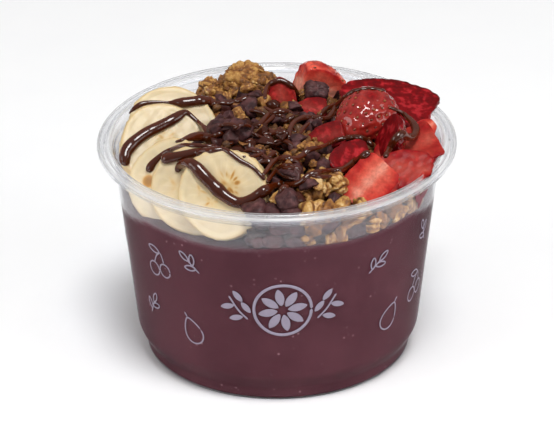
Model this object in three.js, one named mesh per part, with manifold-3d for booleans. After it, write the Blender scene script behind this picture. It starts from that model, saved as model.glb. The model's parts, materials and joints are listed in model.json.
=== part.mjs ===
// A filled acai bowl: a clear, deep tub of frozen acai puree, topped with banana slices, a heap of
// granola and chocolate chips, strawberry pieces and a thick chocolate drizzle.
// Millimetres, +Z up. The origin is the centre of the base, and the front of the bowl faces -Y.

import * as THREE from 'three';
import { mergeVertices } from 'three/addons/utils/BufferGeometryUtils.js';
import Module from 'manifold-3d';

const wasm = await Module();
wasm.setup();

// Tub, outside sizes
const tubHeight = 73.7;
const rimRadius = 58.5;
const rimDepth = 3.6; // how far the rolled rim hangs down
const rimTuckRadius = 56; // the lower lip of the roll
const rimRidges = [1.2, 3.4]; // the two rings on top of the rim, out from the wall
const rimGroove = 0.5; // how deep the rim sinks between its rings
const rimBend = 1.4; // the wall turns outward this far below the top
const rimShoulder = 1.1; // the roll turns down this far below the top
const rimRake = 0.2; // wall and roll lean outward by this over their last stretch
const wallTopRadius = 53.2;
const stackRingHeight = 69.3; // small step in the wall, where an empty tub rests in the next
const stackStep = 0.25;
const stackRingSlope = 0.4;
const wallFootRadius = 46.1;
const shoulderHeight = 9.8;
const shoulderBulge = [0.55, 0.4]; // the shoulder's middle point, as shares of its run and rise
const footRadius = 43.5;
const footHeight = 5.6;
const heelRadius = 2.8;
const footFlat = 1; // width of the flat ring that the tub stands on
const ringSlack = 0.1; // points of the foot's underside lower than this are on that ring
const baseLift = 1.6;
const baseSlope = 2.4; // width of the slope from the flat ring up to the raised base
const wallThickness = 0.8;
const tubSides = 40;
const roomAbove = 40; // how high the room for toppings reaches over the rim

// Filling
const gap = 0.35; // air between neighbouring pieces
const pureeLevel = 58.8;
const pureeTilt = 0.02; // rise of the level towards the right
const pureeSideDip = 5.3; // the level sinks towards the left and the right wall
const pureeDipStart = 0.76; // share of the radius where it starts to sink
const pureeSwell = 0.5; // height of the soft waves on the puree
const heapSides = 28;
const heapFoot = 50;
const heapTop = [2, -2, 75.2];
const heapSpread = [50, 54]; // the heap sinks by heapDrop over these distances along X and Y
const heapDrop = 7.5;
const heapRipple = 0.7;
const heapReach = 49; // the farthest that a loose lump lies from the middle

// Toppings
const sliceThickness = 6;
const sliceEdge = 0.8;
const sliceSides = 24;
const sliceLobes = [0.018, 0.012]; // how far the outline swells in three places and in five
const berrySides = 12;
const berryTaper = 0.22; // how much slimmer a berry is at the tip than at the calyx
const ribbonHeight = 1.3; // how far a chocolate ribbon stands up from what it lies on
const ribbonStep = 3.2;
const ribbonTest = 1.5; // spacing of the points where the drizzle is let down on the toppings
const ribbonDrop = 3; // a step in height that breaks a ribbon

// Loose lumps. A chip is a drop with a flat foot, and its profile is in shares of its size.
const chipCount = 60;
const chipSizes = [6, 9];
const chipProfile = [[0, -0.4], [0.5, -0.14], [0, 0.56]];
const chipSides = 6;
const chipRise = 0.16; // height of its middle over the heap, in shares of its size
const crumbCount = 46;
const crumbRadii = [2.6, 4.4];
const crumbStretch = [1.25, 1, 0.75];
const crumbRise = 0.2; // height of its middle over the heap, in shares of its radius
const lumpRoughness = 0.18; // how far a corner of a lump may lie out or in, as a share
const mostHidden = 0.3; // a lump with more of its volume than this inside a topping is left out
const triesPerLump = 12;
const seed = 20260;
const chunkPlace = [13, 29, 76.2];
const chunkSize = [8, 6, 6];
const chunkTurn = [0.5, 0.4, 0.3];

// Banana slices: centre of the upper face, how far that face turns to the right of the front
// and looks up from level, both in degrees, and ribbons drawn on the face in its own millimetres.
const slices = [
  {
    centre: [-34.2, 11.7, 71.2],
    turn: 4,
    lean: 41,
    radius: 14.7,
    ribbons: [{ width: 3.2, route: [[-12.6, 6.4], [-6, 9.2], [1, 8.8], [7, 9.2], [12, 8.4]] }],
  },
  {
    centre: [-36.3, 0.2, 71.1],
    turn: 13,
    lean: 47,
    radius: 14.6,
    ribbons: [
      { width: 3.8, route: [[-12.4, -6], [-12.2, -2.6], [-5.6, 4.2], [0.8, 7], [6.6, 9.6]] },
      { width: 1.8, route: [[7, 10], [9.8, 8.6], [11.6, 5.7], [12.8, 3]] },
      { width: 3.4, route: [[3.4, -0.4], [8, 1.2], [12.4, 1]] },
    ],
  },
  {
    centre: [-35, -20.3, 68.4],
    turn: -29,
    lean: 35,
    radius: 14,
    ribbons: [{ width: 3.2, route: [[-7, -0.4], [-7.4, 3], [-3.5, 7.4], [1, 9.6]] }],
  },
  {
    centre: [-26.2, -32, 71.1],
    turn: -14,
    lean: 29,
    radius: 14.5,
    ribbons: [{ width: 3.8, route: [[-10.4, 8], [-4.4, 10.6], [1.4, 11.6], [6, 10.6]] }],
  },
  {
    centre: [-17.3, -40.1, 73.6],
    turn: -12,
    lean: 28,
    radius: 14.4,
    ribbons: [
      { width: 3.2, route: [[-4, 12.2], [2.1, 11.8], [6.4, 9.8], [10.4, 6.8]] },
      { width: 3.8, route: [[-12, 5.6], [-9.8, 7], [-4.5, 3.3], [0.7, -0.7], [5.4, -2.6], [12.6, 2.4]] },
    ],
  },
];

// Strawberry pieces, each cut from a whole berry that is `length` from calyx to tip and `width`
// across. `keep` is the part kept, in half widths across the cut face and sideways, and in half
// lengths from calyx to tip. `face` is where the cut face looks and `tip` where the tip points.
const berries = [
  { at: [14.6, 38.6, 72.6], length: 22, width: 22, face: [0.25, -0.93, -0.2], tip: [-1, 0, 0.35],
    keep: [[-0.1, 0.5], [-1, 0.95], [-0.7, 1]] },
  { at: [1.6, 25.4, 75], length: 15, width: 10.5, face: [0, -0.9, 0.4], tip: [-0.1, 0.3, 1],
    keep: [[-0.2, 1], [-1, 1], [-0.3, 1]] },
  { at: [12.6, 19, 74.4], length: 13, width: 10, face: [0.2, -0.5, 0.9], tip: [-1, 0, 0],
    keep: [[-0.1, 1], [-1, 1], [-0.6, 1]] },
  { at: [37.4, 20.6, 76.2], length: 35, width: 26, face: [0.08, -0.2, 1], tip: [-0.93, 0.36, 0.12],
    keep: [[-0.02, 0.4], [-0.95, 0.85], [-0.8, 1]] },
  { at: [28.6, 6.6, 76], length: 24, width: 20, face: [-0.1, 0.3, -1], tip: [-0.6, -0.8, 0.1],
    keep: [[0.05, 1], [-1, 1], [-0.8, 1]] },
  { at: [16.6, -4, 76], length: 15, width: 9, face: [-0.2, -0.8, 0.7], tip: [-1, -0.2, -0.1],
    keep: [[-0.2, 0.8], [-1, 1], [-0.7, 1]] },
  { at: [34.4, -10.4, 78.2], length: 20, width: 15, face: [-0.95, -0.25, 0.35], tip: [0.2, -0.3, 1],
    keep: [[0.1, 1], [-0.8, 0.9], [-0.8, 0.9]] },
  { at: [24, -20, 76], length: 17, width: 12, face: [0.3, -0.55, 0.8], tip: [-0.9, -0.5, 0],
    keep: [[-0.1, 0.9], [-1, 1], [-0.8, 1]] },
  { at: [47, 3.4, 73.4], length: 13, width: 8, face: [0.3, -0.7, 0.7], tip: [0.3, 1, -0.3],
    keep: [[-0.1, 0.9], [-1, 1], [-0.9, 0.9]] },
  { at: [42.2, -9.6, 74], length: 25, width: 20, face: [-0.15, -0.4, 0.9], tip: [-0.9, -0.4, 0.05],
    keep: [[-0.05, 0.4], [-0.8, 0.8], [-0.8, 0.85]] },
  { at: [41, -24.6, 74], length: 20, width: 15, face: [-0.05, -0.6, 0.8], tip: [-1, 0.2, 0],
    keep: [[-0.05, 0.6], [-0.95, 0.9], [-0.85, 1]] },
  { at: [28.8, -33.4, 73.8], length: 20, width: 17.5, face: [-0.2, -0.68, 0.7], tip: [-0.75, -0.6, -0.35],
    keep: [[-0.05, 0.55], [-0.85, 0.85], [-0.85, 0.85]] },
];

// Chocolate ribbons over the heap and the berries, in plan, from the left to the right.
const ribbons = [
  { width: 2.4, route: [[-4, 24], [-1, 30], [2, 33], [6, 29], [9, 26]] },
  { width: 2.4, route: [[-4, 12], [0, 14], [5, 15]] },
  { width: 3, route: [[3, -7], [5, 2], [8, 7], [15, 8], [18, 12], [22, 17], [26, 21], [31, 19], [37, 14]] },
  { width: 3.4, route: [[35, -24], [38, -13], [42, -9], [45, -5], [43, 2], [39, 6]] },
  { width: 3, route: [[-4, -25], [2, -17], [8, -12], [15, -8], [21, -5], [26, -5], [30, -8]] },
  { width: 3, route: [[-4, -33], [4, -30], [10, -25], [16, -22], [22, -25], [27, -18], [31, -14]] },
];

// Random numbers from 0 to 1 that come out the same each time, by a linear congruence.
function seededRandom(start) {
  const factor = 1664525;
  const increment = 1013904223;
  const range = 2 ** 32;
  let state = start;
  return () => {
    state = (state * factor + increment) % range;
    return state / range;
  };
}

function between([low, high], share) {
  return low + (high - low) * share;
}

// Solids: a closed geometry as a manifold, and back.
function toSolid(geometry, matrix = new THREE.Matrix4()) {
  const bare = geometry.clone();
  bare.deleteAttribute('normal');
  bare.deleteAttribute('uv');
  const merged = mergeVertices(bare, 1e-4);
  merged.applyMatrix4(matrix);
  return new wasm.Manifold(
    new wasm.Mesh({
      numProp: 3,
      vertProperties: new Float32Array(merged.attributes.position.array),
      triVerts: new Uint32Array(merged.index.array),
    }),
  );
}

function toGeometry(solid) {
  const mesh = solid.getMesh();
  const geometry = new THREE.BufferGeometry();
  geometry.setAttribute('position', new THREE.BufferAttribute(mesh.vertProperties, 3));
  geometry.setIndex(new THREE.BufferAttribute(mesh.triVerts, 1));
  geometry.computeVertexNormals();
  return geometry;
}

// The largest body of a solid, without the scraps that cutting leaves.
function largestBody(solid) {
  const bodies = solid.decompose();
  return bodies.reduce((best, body) => (body.volume() > best.volume() ? body : best));
}

function union(solids) {
  return solids.reduce((sum, solid) => sum.add(solid));
}

function cutAway(solid, others) {
  return others.reduce((rest, other) => rest.subtract(other), solid);
}

// A profile of [radius, height] turned round the Z axis.
function turned(profile, sides) {
  const points = profile.map(([radius, height]) => new THREE.Vector2(radius, height));
  const geometry = new THREE.LatheGeometry(points, sides);
  geometry.rotateX(Math.PI / 2);
  return geometry;
}

// Points along part of a circle in a profile, from one angle to another in degrees.
function arc(centreRadius, centreHeight, radius, from, to, steps) {
  const points = [];
  for (let step = 0; step <= steps; step += 1) {
    const angle = THREE.MathUtils.degToRad(from + ((to - from) * step) / steps);
    points.push([centreRadius + radius * Math.cos(angle), centreHeight + radius * Math.sin(angle)]);
  }
  return points;
}

// The middle of the tub's sheet, from the axis over the foot and up the wall to the rim's lip.
function sheetLine() {
  const half = wallThickness / 2;
  const heelCentre = footRadius - heelRadius;
  const shoulderRise = shoulderHeight - footHeight;
  const shoulderRun = wallFootRadius - footRadius;
  const [innerRidge, outerRidge] = rimRidges.map((out) => wallTopRadius + out);
  return [
    [0, baseLift + half],
    [heelCentre - footFlat - baseSlope, baseLift + half],
    [heelCentre - footFlat, half],
    ...arc(heelCentre, heelRadius, heelRadius - half, -90, 0, 2),
    [footRadius - half, footHeight],
    [footRadius - half + shoulderRun * shoulderBulge[0], footHeight + shoulderRise * shoulderBulge[1]],
    [wallFootRadius - half, shoulderHeight],
    [wallTopRadius - half - stackStep, stackRingHeight - stackRingSlope],
    [wallTopRadius - half, stackRingHeight + stackRingSlope],
    [wallTopRadius - half + rimRake, tubHeight - rimBend],
    [innerRidge, tubHeight - half],
    [(innerRidge + outerRidge) / 2, tubHeight - half - rimGroove],
    [outerRidge, tubHeight - half],
    [rimRadius - half, tubHeight - rimShoulder],
    [rimRadius - half - rimRake, tubHeight - rimDepth * 0.6],
    [rimTuckRadius + half, tubHeight - rimDepth + half],
  ];
}

// A line moved sideways by a distance, to its left where that is positive.
function beside(line, distance) {
  return line.map((point, index) => {
    const before = line[Math.max(index - 1, 0)];
    const after = line[Math.min(index + 1, line.length - 1)];
    const along = new THREE.Vector2(after[0] - before[0], after[1] - before[1]).normalize();
    const moved = [point[0] - along.y * distance, point[1] + along.x * distance];
    return point[0] === 0 ? [0, point[1] + distance] : moved;
  });
}

// The tub. The ring that it stands on is flattened to height 0.
function tubSolid() {
  const line = sheetLine();
  const inside = beside(line, wallThickness / 2);
  const outside = beside(line, -wallThickness / 2);
  const standing = outside.map(([radius, height]) => [radius, height < ringSlack ? 0 : height]);
  return toSolid(turned([...standing, ...inside.reverse()], tubSides));
}

// The room inside the tub, less a margin, up to well above the rim.
function tubRoom(margin) {
  const inside = beside(sheetLine(), wallThickness / 2 + margin);
  const wallTop = inside.findIndex(([, height]) => height > stackRingHeight);
  const profile = inside.slice(0, wallTop + 1);
  const mouth = wallTopRadius - wallThickness - margin;
  const overRim = tubHeight + margin;
  const top = tubHeight + roomAbove;
  const above = [[mouth, overRim], [rimRadius, overRim], [rimRadius, top], [0, top]];
  return toSolid(turned([...profile, ...above], tubSides));
}

// Height of the puree at a place. It sinks to the left and right, and is uneven.
function pureeHeight(x, y) {
  const sideways = Math.abs(x) / wallTopRadius;
  const dip = pureeSideDip * THREE.MathUtils.smoothstep(sideways, pureeDipStart, 1);
  return pureeLevel + pureeTilt * x - dip + pureeSwell * Math.sin(x / 9 + 1) * Math.cos(y / 8);
}

// The puree: a turned block whose upper face follows pureeHeight, cut to the room in the tub.
function pureeSolid(margin) {
  const reach = wallTopRadius + 2;
  const rings = [1, 0.84, 0.52, 0];
  const profile = [[0, 0], [reach, 0], ...rings.map((ring) => [reach * ring, pureeLevel])];
  const geometry = turned(profile, tubSides);
  const position = geometry.attributes.position;
  for (let index = 0; index < position.count; index += 1) {
    if (position.getZ(index) > 1) {
      const height = pureeHeight(position.getX(index), position.getY(index));
      position.setZ(index, height + margin);
    }
  }
  return toSolid(geometry);
}

// Banana slices. In a slice's own frame the face is at Z = 0 and looks along +Z, and +Y runs up it.
function sliceFrame({ centre, turn, lean }) {
  const side = THREE.MathUtils.degToRad(turn);
  const up = THREE.MathUtils.degToRad(lean);
  const normal = new THREE.Vector3(
    Math.sin(side) * Math.cos(up),
    -Math.cos(side) * Math.cos(up),
    Math.sin(up),
  );
  const upSlope = new THREE.Vector3(0, 0, 1).addScaledVector(normal, -normal.z).normalize();
  const across = new THREE.Vector3().crossVectors(upSlope, normal);
  return new THREE.Matrix4().makeBasis(across, upSlope, normal).setPosition(...centre);
}

function sliceOutline(radius, lobes) {
  const points = [];
  for (let side = 0; side < sliceSides; side += 1) {
    const angle = (side / sliceSides) * Math.PI * 2;
    const three = sliceLobes[0] * Math.cos(3 * angle + lobes);
    const five = sliceLobes[1] * Math.cos(5 * angle + 2 * lobes);
    const reach = radius * (1 + three + five);
    points.push(new THREE.Vector2(reach * Math.cos(angle), reach * Math.sin(angle)));
  }
  return new THREE.Shape(points);
}

function sliceSolid(slice, index) {
  const geometry = new THREE.ExtrudeGeometry(sliceOutline(slice.radius - sliceEdge, index), {
    depth: sliceThickness - 2 * sliceEdge,
    bevelSize: sliceEdge,
    bevelThickness: sliceEdge,
    bevelSegments: 1,
  });
  geometry.translate(0, 0, sliceEdge - sliceThickness);
  return toSolid(geometry, sliceFrame(slice));
}

// The room that a slice takes, without its rounded edge: grown by a margin all round, and by
// `over` above its face, where its ribbons lie.
function sliceRoom(slice, index, margin, over) {
  const geometry = new THREE.ExtrudeGeometry(sliceOutline(slice.radius + margin, index), {
    depth: sliceThickness + over + 2 * margin,
    bevelEnabled: false,
  });
  geometry.translate(0, 0, -sliceThickness - margin);
  return toSolid(geometry, sliceFrame(slice));
}

// A ribbon of chocolate along a route: an oval section, wider than it is high.
function ribbonSolid(points, width, matrix) {
  const section = new THREE.Shape();
  section.absellipse(0, 0, ribbonHeight, width / 2, 0, Math.PI * 2);
  const path = new THREE.CatmullRomCurve3(points);
  const steps = Math.ceil(path.getLength() / ribbonStep);
  const geometry = new THREE.ExtrudeGeometry(section, {
    steps,
    curveSegments: 3,
    extrudePath: path,
  });
  return toSolid(geometry, matrix);
}

function sliceRibbons(slice) {
  return slice.ribbons.map(({ width, route }) => {
    const points = route.map(([x, y]) => new THREE.Vector3(x, y, 0));
    return ribbonSolid(points, width, sliceFrame(slice));
  });
}

// Strawberry pieces. In a berry's own frame the tip points along +Z and the cut face along -X.
function berryFrame({ at, face, tip }) {
  const back = new THREE.Vector3(...face).normalize().negate();
  const along = new THREE.Vector3(...tip).addScaledVector(back, -back.dot(new THREE.Vector3(...tip)));
  along.normalize();
  const aside = new THREE.Vector3().crossVectors(along, back);
  return new THREE.Matrix4().makeBasis(back, aside, along).setPosition(...at);
}

// Half width of a whole berry, as a share of its widest, from the calyx (-1) to the tip (1).
function berrySwell(place) {
  const round = Math.sqrt(Math.max(1 - place * place, 0));
  return round * (1 - berryTaper * place);
}

function wholeBerry(length, width, margin) {
  const places = [-1, -0.88, -0.45, 0.1, 0.6, 0.9, 1];
  const halfLength = length / 2 + margin;
  const halfWidth = width / 2 + margin;
  const profile = places.map((place) => [halfWidth * berrySwell(place), halfLength * place]);
  return toSolid(turned(profile, berrySides));
}

function berrySolid(berry, margin) {
  const halves = [berry.width / 2, berry.width / 2, berry.length / 2];
  const low = berry.keep.map(([from], axis) => from * halves[axis] - margin);
  const high = berry.keep.map(([, to], axis) => to * halves[axis] + margin);
  const box = new THREE.BoxGeometry(high[0] - low[0], high[1] - low[1], high[2] - low[2]);
  box.translate((low[0] + high[0]) / 2, (low[1] + high[1]) / 2, (low[2] + high[2]) / 2);
  const piece = wholeBerry(berry.length, berry.width, margin).intersect(toSolid(box));
  return piece.transform(berryFrame(berry).toArray());
}

// Radius of the heap's foot round the bowl, by the angle from +X in degrees. It meets the wall in
// front and at the back, and runs under the banana slices on the left and the berries on the right.
const heapFootRadii = [
  [-180, 25], [-150, 29], [-125, 33], [-106, 37], [-100, 54], [-60, 54], [-34, 53], [-15, 43],
  [20, 41], [60, 41], [82, 42], [96, 50], [116, 50], [132, 38], [150, 26], [180, 25],
];

function heapRadius(angle) {
  const next = heapFootRadii.findIndex(([end]) => end >= angle);
  const [from, fromRadius] = heapFootRadii[Math.max(next - 1, 0)];
  const [to, toRadius] = heapFootRadii[Math.max(next, 1)];
  return THREE.MathUtils.lerp(fromRadius, toRadius, (angle - from) / (to - from));
}

// Height of the heap's core: a low dome, highest a little right of the middle.
function heapHeight(x, y) {
  const away = Math.hypot((x - heapTop[0]) / heapSpread[0], (y - heapTop[1]) / heapSpread[1]);
  const dome = heapTop[2] - heapDrop * away * away;
  return dome + heapRipple * Math.sin(x / 4.3) * Math.cos(y / 3.7 + 1);
}

function heapCore() {
  const rings = [1, 0.82, 0.5, 0];
  const profile = [[0, heapFoot], [1, heapFoot], ...rings.map((ring) => [ring, tubHeight])];
  const geometry = turned(profile, heapSides);
  const position = geometry.attributes.position;
  for (let index = 0; index < position.count; index += 1) {
    const angle = Math.atan2(position.getY(index), position.getX(index));
    const reach = heapRadius(THREE.MathUtils.radToDeg(angle));
    const x = position.getX(index) * reach;
    const y = position.getY(index) * reach;
    const height = position.getZ(index) > heapFoot + 1 ? heapHeight(x, y) : heapFoot;
    position.setXYZ(index, x, y, height);
  }
  return toSolid(geometry);
}

// A lump with flat facets: a round body, made uneven by the random numbers and stretched.
function lump(body, stretch, random) {
  const geometry = mergeVertices(bareGeometry(body), 1e-3);
  const position = geometry.attributes.position;
  for (let index = 0; index < position.count; index += 1) {
    const swell = between([1 - lumpRoughness, 1 + lumpRoughness], random());
    position.setXYZ(
      index,
      position.getX(index) * swell * stretch[0],
      position.getY(index) * swell * stretch[1],
      position.getZ(index) * swell * stretch[2],
    );
  }
  return geometry;
}

function bareGeometry(geometry) {
  geometry.deleteAttribute('normal');
  geometry.deleteAttribute('uv');
  return geometry;
}

function anyTurn(random) {
  const turn = Math.PI * 2;
  return new THREE.Euler(random() * turn, random() * turn, random() * turn);
}

function chipGeometry(size) {
  return turned(chipProfile.map(([radius, height]) => [radius * size, height * size]), chipSides);
}

// Places spread evenly over the heap: each new one is the farthest of several tries from the rest.
function spreadPlaces(count, random) {
  const places = [];
  while (places.length < count) {
    let best = null;
    for (let attempt = 0; attempt < triesPerLump; attempt += 1) {
      const x = (random() * 2 - 1) * wallTopRadius;
      const y = (random() * 2 - 1) * wallTopRadius;
      const reach = Math.min(heapRadius(THREE.MathUtils.radToDeg(Math.atan2(y, x))), heapReach);
      const clear = Math.min(...places.map((place) => Math.hypot(place.x - x, place.y - y)));
      const inside = Math.hypot(x, y) < reach;
      if (inside && (!best || clear > best.clear)) {
        best = { x, y, clear };
      }
    }
    if (best) {
      places.push(best);
    }
  }
  return places;
}

// The loose chips and granola crumbs that show on the heap. Chips lean by up to one radian.
function heapLumps(random) {
  const chips = spreadPlaces(chipCount, random).map(({ x, y }) => {
    const size = between(chipSizes, random());
    const turn = new THREE.Euler(random() * 2 - 1, random() * 2 - 1, random() * Math.PI * 2);
    const matrix = new THREE.Matrix4().makeRotationFromEuler(turn);
    matrix.setPosition(x, y, heapHeight(x, y) + chipRise * size);
    return toSolid(chipGeometry(size), matrix);
  });
  const crumbs = spreadPlaces(crumbCount, random).map(({ x, y }) => {
    const radius = between(crumbRadii, random());
    const matrix = new THREE.Matrix4().makeRotationFromEuler(anyTurn(random));
    matrix.setPosition(x, y, heapHeight(x, y) + crumbRise * radius);
    return toSolid(lump(new THREE.OctahedronGeometry(radius), crumbStretch, random), matrix);
  });
  return [...chips, ...crumbs];
}

// The one large chocolate chunk, in front of the strawberry at the back.
function chunkSolid() {
  const turn = new THREE.Euler(...chunkTurn);
  const matrix = new THREE.Matrix4().makeRotationFromEuler(turn).setPosition(...chunkPlace);
  return toSolid(new THREE.BoxGeometry(...chunkSize), matrix);
}

// True for a lump that lies mostly inside the toppings.
function mostlyInside(lumpSolid, toppings) {
  const outside = cutAway(lumpSolid, toppings).volume();
  return outside < (1 - mostHidden) * lumpSolid.volume();
}

// The two tall granola clusters at the back wall, each of a few large lumps: place and radius.
// A lump wider than fineRadius has four times the facets.
const fineRadius = 6;
const clusterLumps = [
  [-11, 44.4, 72.6, 6.6], [-5.6, 41, 72, 5.4], [-15.2, 42, 71, 5.2], [-12.4, 45.4, 76.8, 3.6],
  [-7.4, 44, 75.6, 3.2], [-2.4, 38.6, 72.4, 3.6], [2, 36, 72, 3], [-22.6, 41, 72, 3.4],
  [-20.6, 39, 69.4, 3.6],
];

function clusterSolids(random) {
  return clusterLumps.map(([x, y, z, radius]) => {
    const matrix = new THREE.Matrix4().makeRotationFromEuler(anyTurn(random));
    matrix.setPosition(x, y, z);
    const body = new THREE.IcosahedronGeometry(radius, radius > fineRadius ? 1 : 0);
    return toSolid(lump(body, [1, 1, 1], random), matrix);
  });
}

// Highest point of a solid's mesh under a place in plan, or null beside it.
function topAt(mesh, x, y) {
  const start = new THREE.Vector3(x, y, tubHeight + roomAbove);
  const ray = new THREE.Raycaster(start, new THREE.Vector3(0, 0, -1));
  const [hit] = ray.intersectObject(mesh);
  return hit ? hit.point.z : null;
}

// The stretches of the drizzle that lie on each of several solids, as ribbons.
function settledRibbons(solids) {
  const meshes = solids.map((solid) => new THREE.Mesh(toGeometry(solid)));
  const found = solids.map(() => []);
  for (const { width, route } of ribbons) {
    const path = new THREE.CatmullRomCurve3(route.map(([x, y]) => new THREE.Vector3(x, y, 0)));
    const count = Math.ceil(path.getLength() / ribbonTest);
    let run = null;
    for (const { x, y } of path.getSpacedPoints(count)) {
      const heights = meshes.map((mesh) => topAt(mesh, x, y) ?? -1);
      const height = Math.max(...heights);
      const owner = heights.indexOf(height);
      const jump = run && Math.abs(height - run.points.at(-1).z) > ribbonDrop;
      if (!run || owner !== run.owner || jump) {
        run = { owner, points: [] };
        found[owner].push({ width, points: run.points });
      }
      run.points.push(new THREE.Vector3(x, y, height));
    }
  }
  return found.map((runs) =>
    runs
      .filter(({ points }) => points.length > 3)
      .map(({ width, points }) => ribbonSolid(points.slice(1, -1), width)),
  );
}

// All the toppings. Each is fitted to the bare bodies of the others, with a gap between them.
function buildToppings() {
  const random = seededRandom(seed);
  const tub = tubRoom(gap);
  const puree = pureeSolid(0).intersect(tub);
  const pureeCutter = pureeSolid(gap);
  const sliceCutters = slices.map((slice, index) => sliceRoom(slice, index, gap, 0));
  const dressedCutters = slices.map((slice, index) => sliceRoom(slice, index, gap, ribbonHeight));
  const berryCutters = berries.map((berry) => berrySolid(berry, gap));

  const bareSlices = slices.map((slice, index) => {
    const nearer = sliceCutters.slice(index + 1);
    return cutAway(sliceSolid(slice, index), [...nearer, pureeCutter]).intersect(tub);
  });
  const bareBerries = berries.map((berry, index) => {
    const nearer = berryCutters.slice(index + 1);
    return cutAway(berrySolid(berry, 0), [...nearer, ...sliceCutters, pureeCutter]).intersect(tub);
  });
  const toppingCutters = [...dressedCutters, ...berryCutters, pureeCutter];
  const showing = heapLumps(random).filter((lumpSolid) => !mostlyInside(lumpSolid, toppingCutters));
  const lumps = union([heapCore(), chunkSolid(), ...showing, ...clusterSolids(random)]);
  const bareHeap = largestBody(cutAway(lumps, toppingCutters).intersect(tub));

  const onHeapAndBerries = settledRibbons([bareHeap, ...bareBerries]);
  const dressedSlices = bareSlices.map((slice, index) => {
    const others = [...sliceCutters.filter((_, other) => other !== index), ...berryCutters];
    const ownRoom = sliceRoom(slices[index], index, 0, ribbonHeight);
    const ribbon = cutAway(union(sliceRibbons(slices[index])).intersect(ownRoom), others);
    return largestBody(slice.add(ribbon.intersect(tub)));
  });
  const dressedBerries = bareBerries.map((berry, index) => {
    const others = berryCutters.filter((_, other) => other !== index);
    const runs = onHeapAndBerries[index + 1];
    const ribbon = runs.length ? cutAway(union(runs), [...others, ...sliceCutters]) : null;
    return largestBody(ribbon ? berry.add(ribbon) : berry);
  });
  const heapRuns = onHeapAndBerries[0];
  const heap = heapRuns.length ? bareHeap.add(cutAway(union(heapRuns), toppingCutters)) : bareHeap;
  return { puree, slices: dressedSlices, berries: dressedBerries, heap: largestBody(heap) };
}

const materials = {
  tub: () => new THREE.MeshStandardMaterial({ color: 0xe3e6ea, roughness: 0.12, metalness: 0 }),
  puree: () => new THREE.MeshStandardMaterial({ color: 0x583a40, roughness: 0.55, metalness: 0 }),
  granola: () => new THREE.MeshStandardMaterial({ color: 0x7c5230, roughness: 0.8, metalness: 0 }),
  banana: () => new THREE.MeshStandardMaterial({ color: 0xe6d9b2, roughness: 0.5, metalness: 0 }),
  strawberry: () => new THREE.MeshStandardMaterial({ color: 0xb01e22, roughness: 0.4, metalness: 0 }),
};

function part(name, solid, material) {
  const mesh = new THREE.Mesh(toGeometry(solid), material);
  mesh.name = name;
  return mesh;
}

function acaiBowl() {
  const group = new THREE.Group();
  const toppings = buildToppings();
  group.add(part('tub', tubSolid(), materials.tub()));
  group.add(part('acai_puree', toppings.puree, materials.puree()));
  group.add(part('granola_heap', toppings.heap, materials.granola()));
  toppings.slices.forEach((slice, index) => {
    group.add(part(`banana_slice_${index + 1}`, slice, materials.banana()));
  });
  toppings.berries.forEach((berry, index) => {
    group.add(part(`strawberry_${index + 1}`, berry, materials.strawberry()));
  });
  return group;
}

export default acaiBowl();
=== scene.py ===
"""A clear deli tub of acai puree with banana, strawberries, granola, chocolate chips and sauce.

Every new piece is a surface worked out in millimetres and put into its mesh in metres, in the
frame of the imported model: +Z up, the origin under the middle of the base, the front towards -Y.
"""

import functools
import json
import math
from collections import namedtuple

import bpy
import numpy as np
from mathutils import Matrix, Vector
from mathutils.bvhtree import BVHTree

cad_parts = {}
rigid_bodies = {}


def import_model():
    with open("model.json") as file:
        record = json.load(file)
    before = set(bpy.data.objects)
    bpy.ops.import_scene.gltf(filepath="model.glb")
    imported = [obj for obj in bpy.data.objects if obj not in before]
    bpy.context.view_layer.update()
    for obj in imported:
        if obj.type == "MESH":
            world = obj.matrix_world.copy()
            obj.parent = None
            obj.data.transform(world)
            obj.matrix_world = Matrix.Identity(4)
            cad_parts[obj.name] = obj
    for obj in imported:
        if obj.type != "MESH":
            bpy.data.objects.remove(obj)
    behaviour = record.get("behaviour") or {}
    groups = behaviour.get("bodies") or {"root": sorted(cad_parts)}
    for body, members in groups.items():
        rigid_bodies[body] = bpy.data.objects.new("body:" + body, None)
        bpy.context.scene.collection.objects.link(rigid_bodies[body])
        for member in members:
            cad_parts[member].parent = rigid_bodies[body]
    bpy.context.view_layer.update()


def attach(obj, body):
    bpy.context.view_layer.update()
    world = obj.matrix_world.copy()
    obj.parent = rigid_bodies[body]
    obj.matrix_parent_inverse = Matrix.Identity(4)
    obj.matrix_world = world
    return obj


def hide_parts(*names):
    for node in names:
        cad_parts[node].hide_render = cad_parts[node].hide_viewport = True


bl_info = {
    "name": "Acai bowl",
    "version": (1, 0, 0),
    "blender": (4, 5, 0),
    "location": "View3D > Sidebar > Acai bowl",
    "description": "Makes a clear tub of acai puree with fruit, granola and chocolate",
    "category": "Add Mesh",
}

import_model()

MM = 0.001
TURN = 2 * math.pi

# Tub, in millimetres: outer radii and heights
TUB_HEIGHT = 73.7
RIM_RADIUS = 58.4
LIP_RADIUS = 56.0  # where the rim's lip ends, below the rim
WALL_TOP = 53.2
RING_HEIGHT = 69.3
WALL_FOOT = 46.1
SHOULDER = 9.5
WALL_START = 6.2  # height over the foot's bead, where the wall starts
FOOT_RADIUS = 43.2
FOOT_HEIGHT = 4.8
MID_RADIUS = 50.0  # the wall at mid height
BASE_RADIUS = 38.0
BASE_RAISE = 1.6  # how high the middle of the base stands
RIM_HAZE = 5  # how much milkier the rim's flat top is than the wall
GAP = 0.15  # between the toppings and the tub

# Puree
PUREE_RADIUS = 50.5
PUREE_BITE = 0.12  # how far it reaches into the wall
DIP_START = 0.76  # share of the wall's radius where it begins to dip

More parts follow.
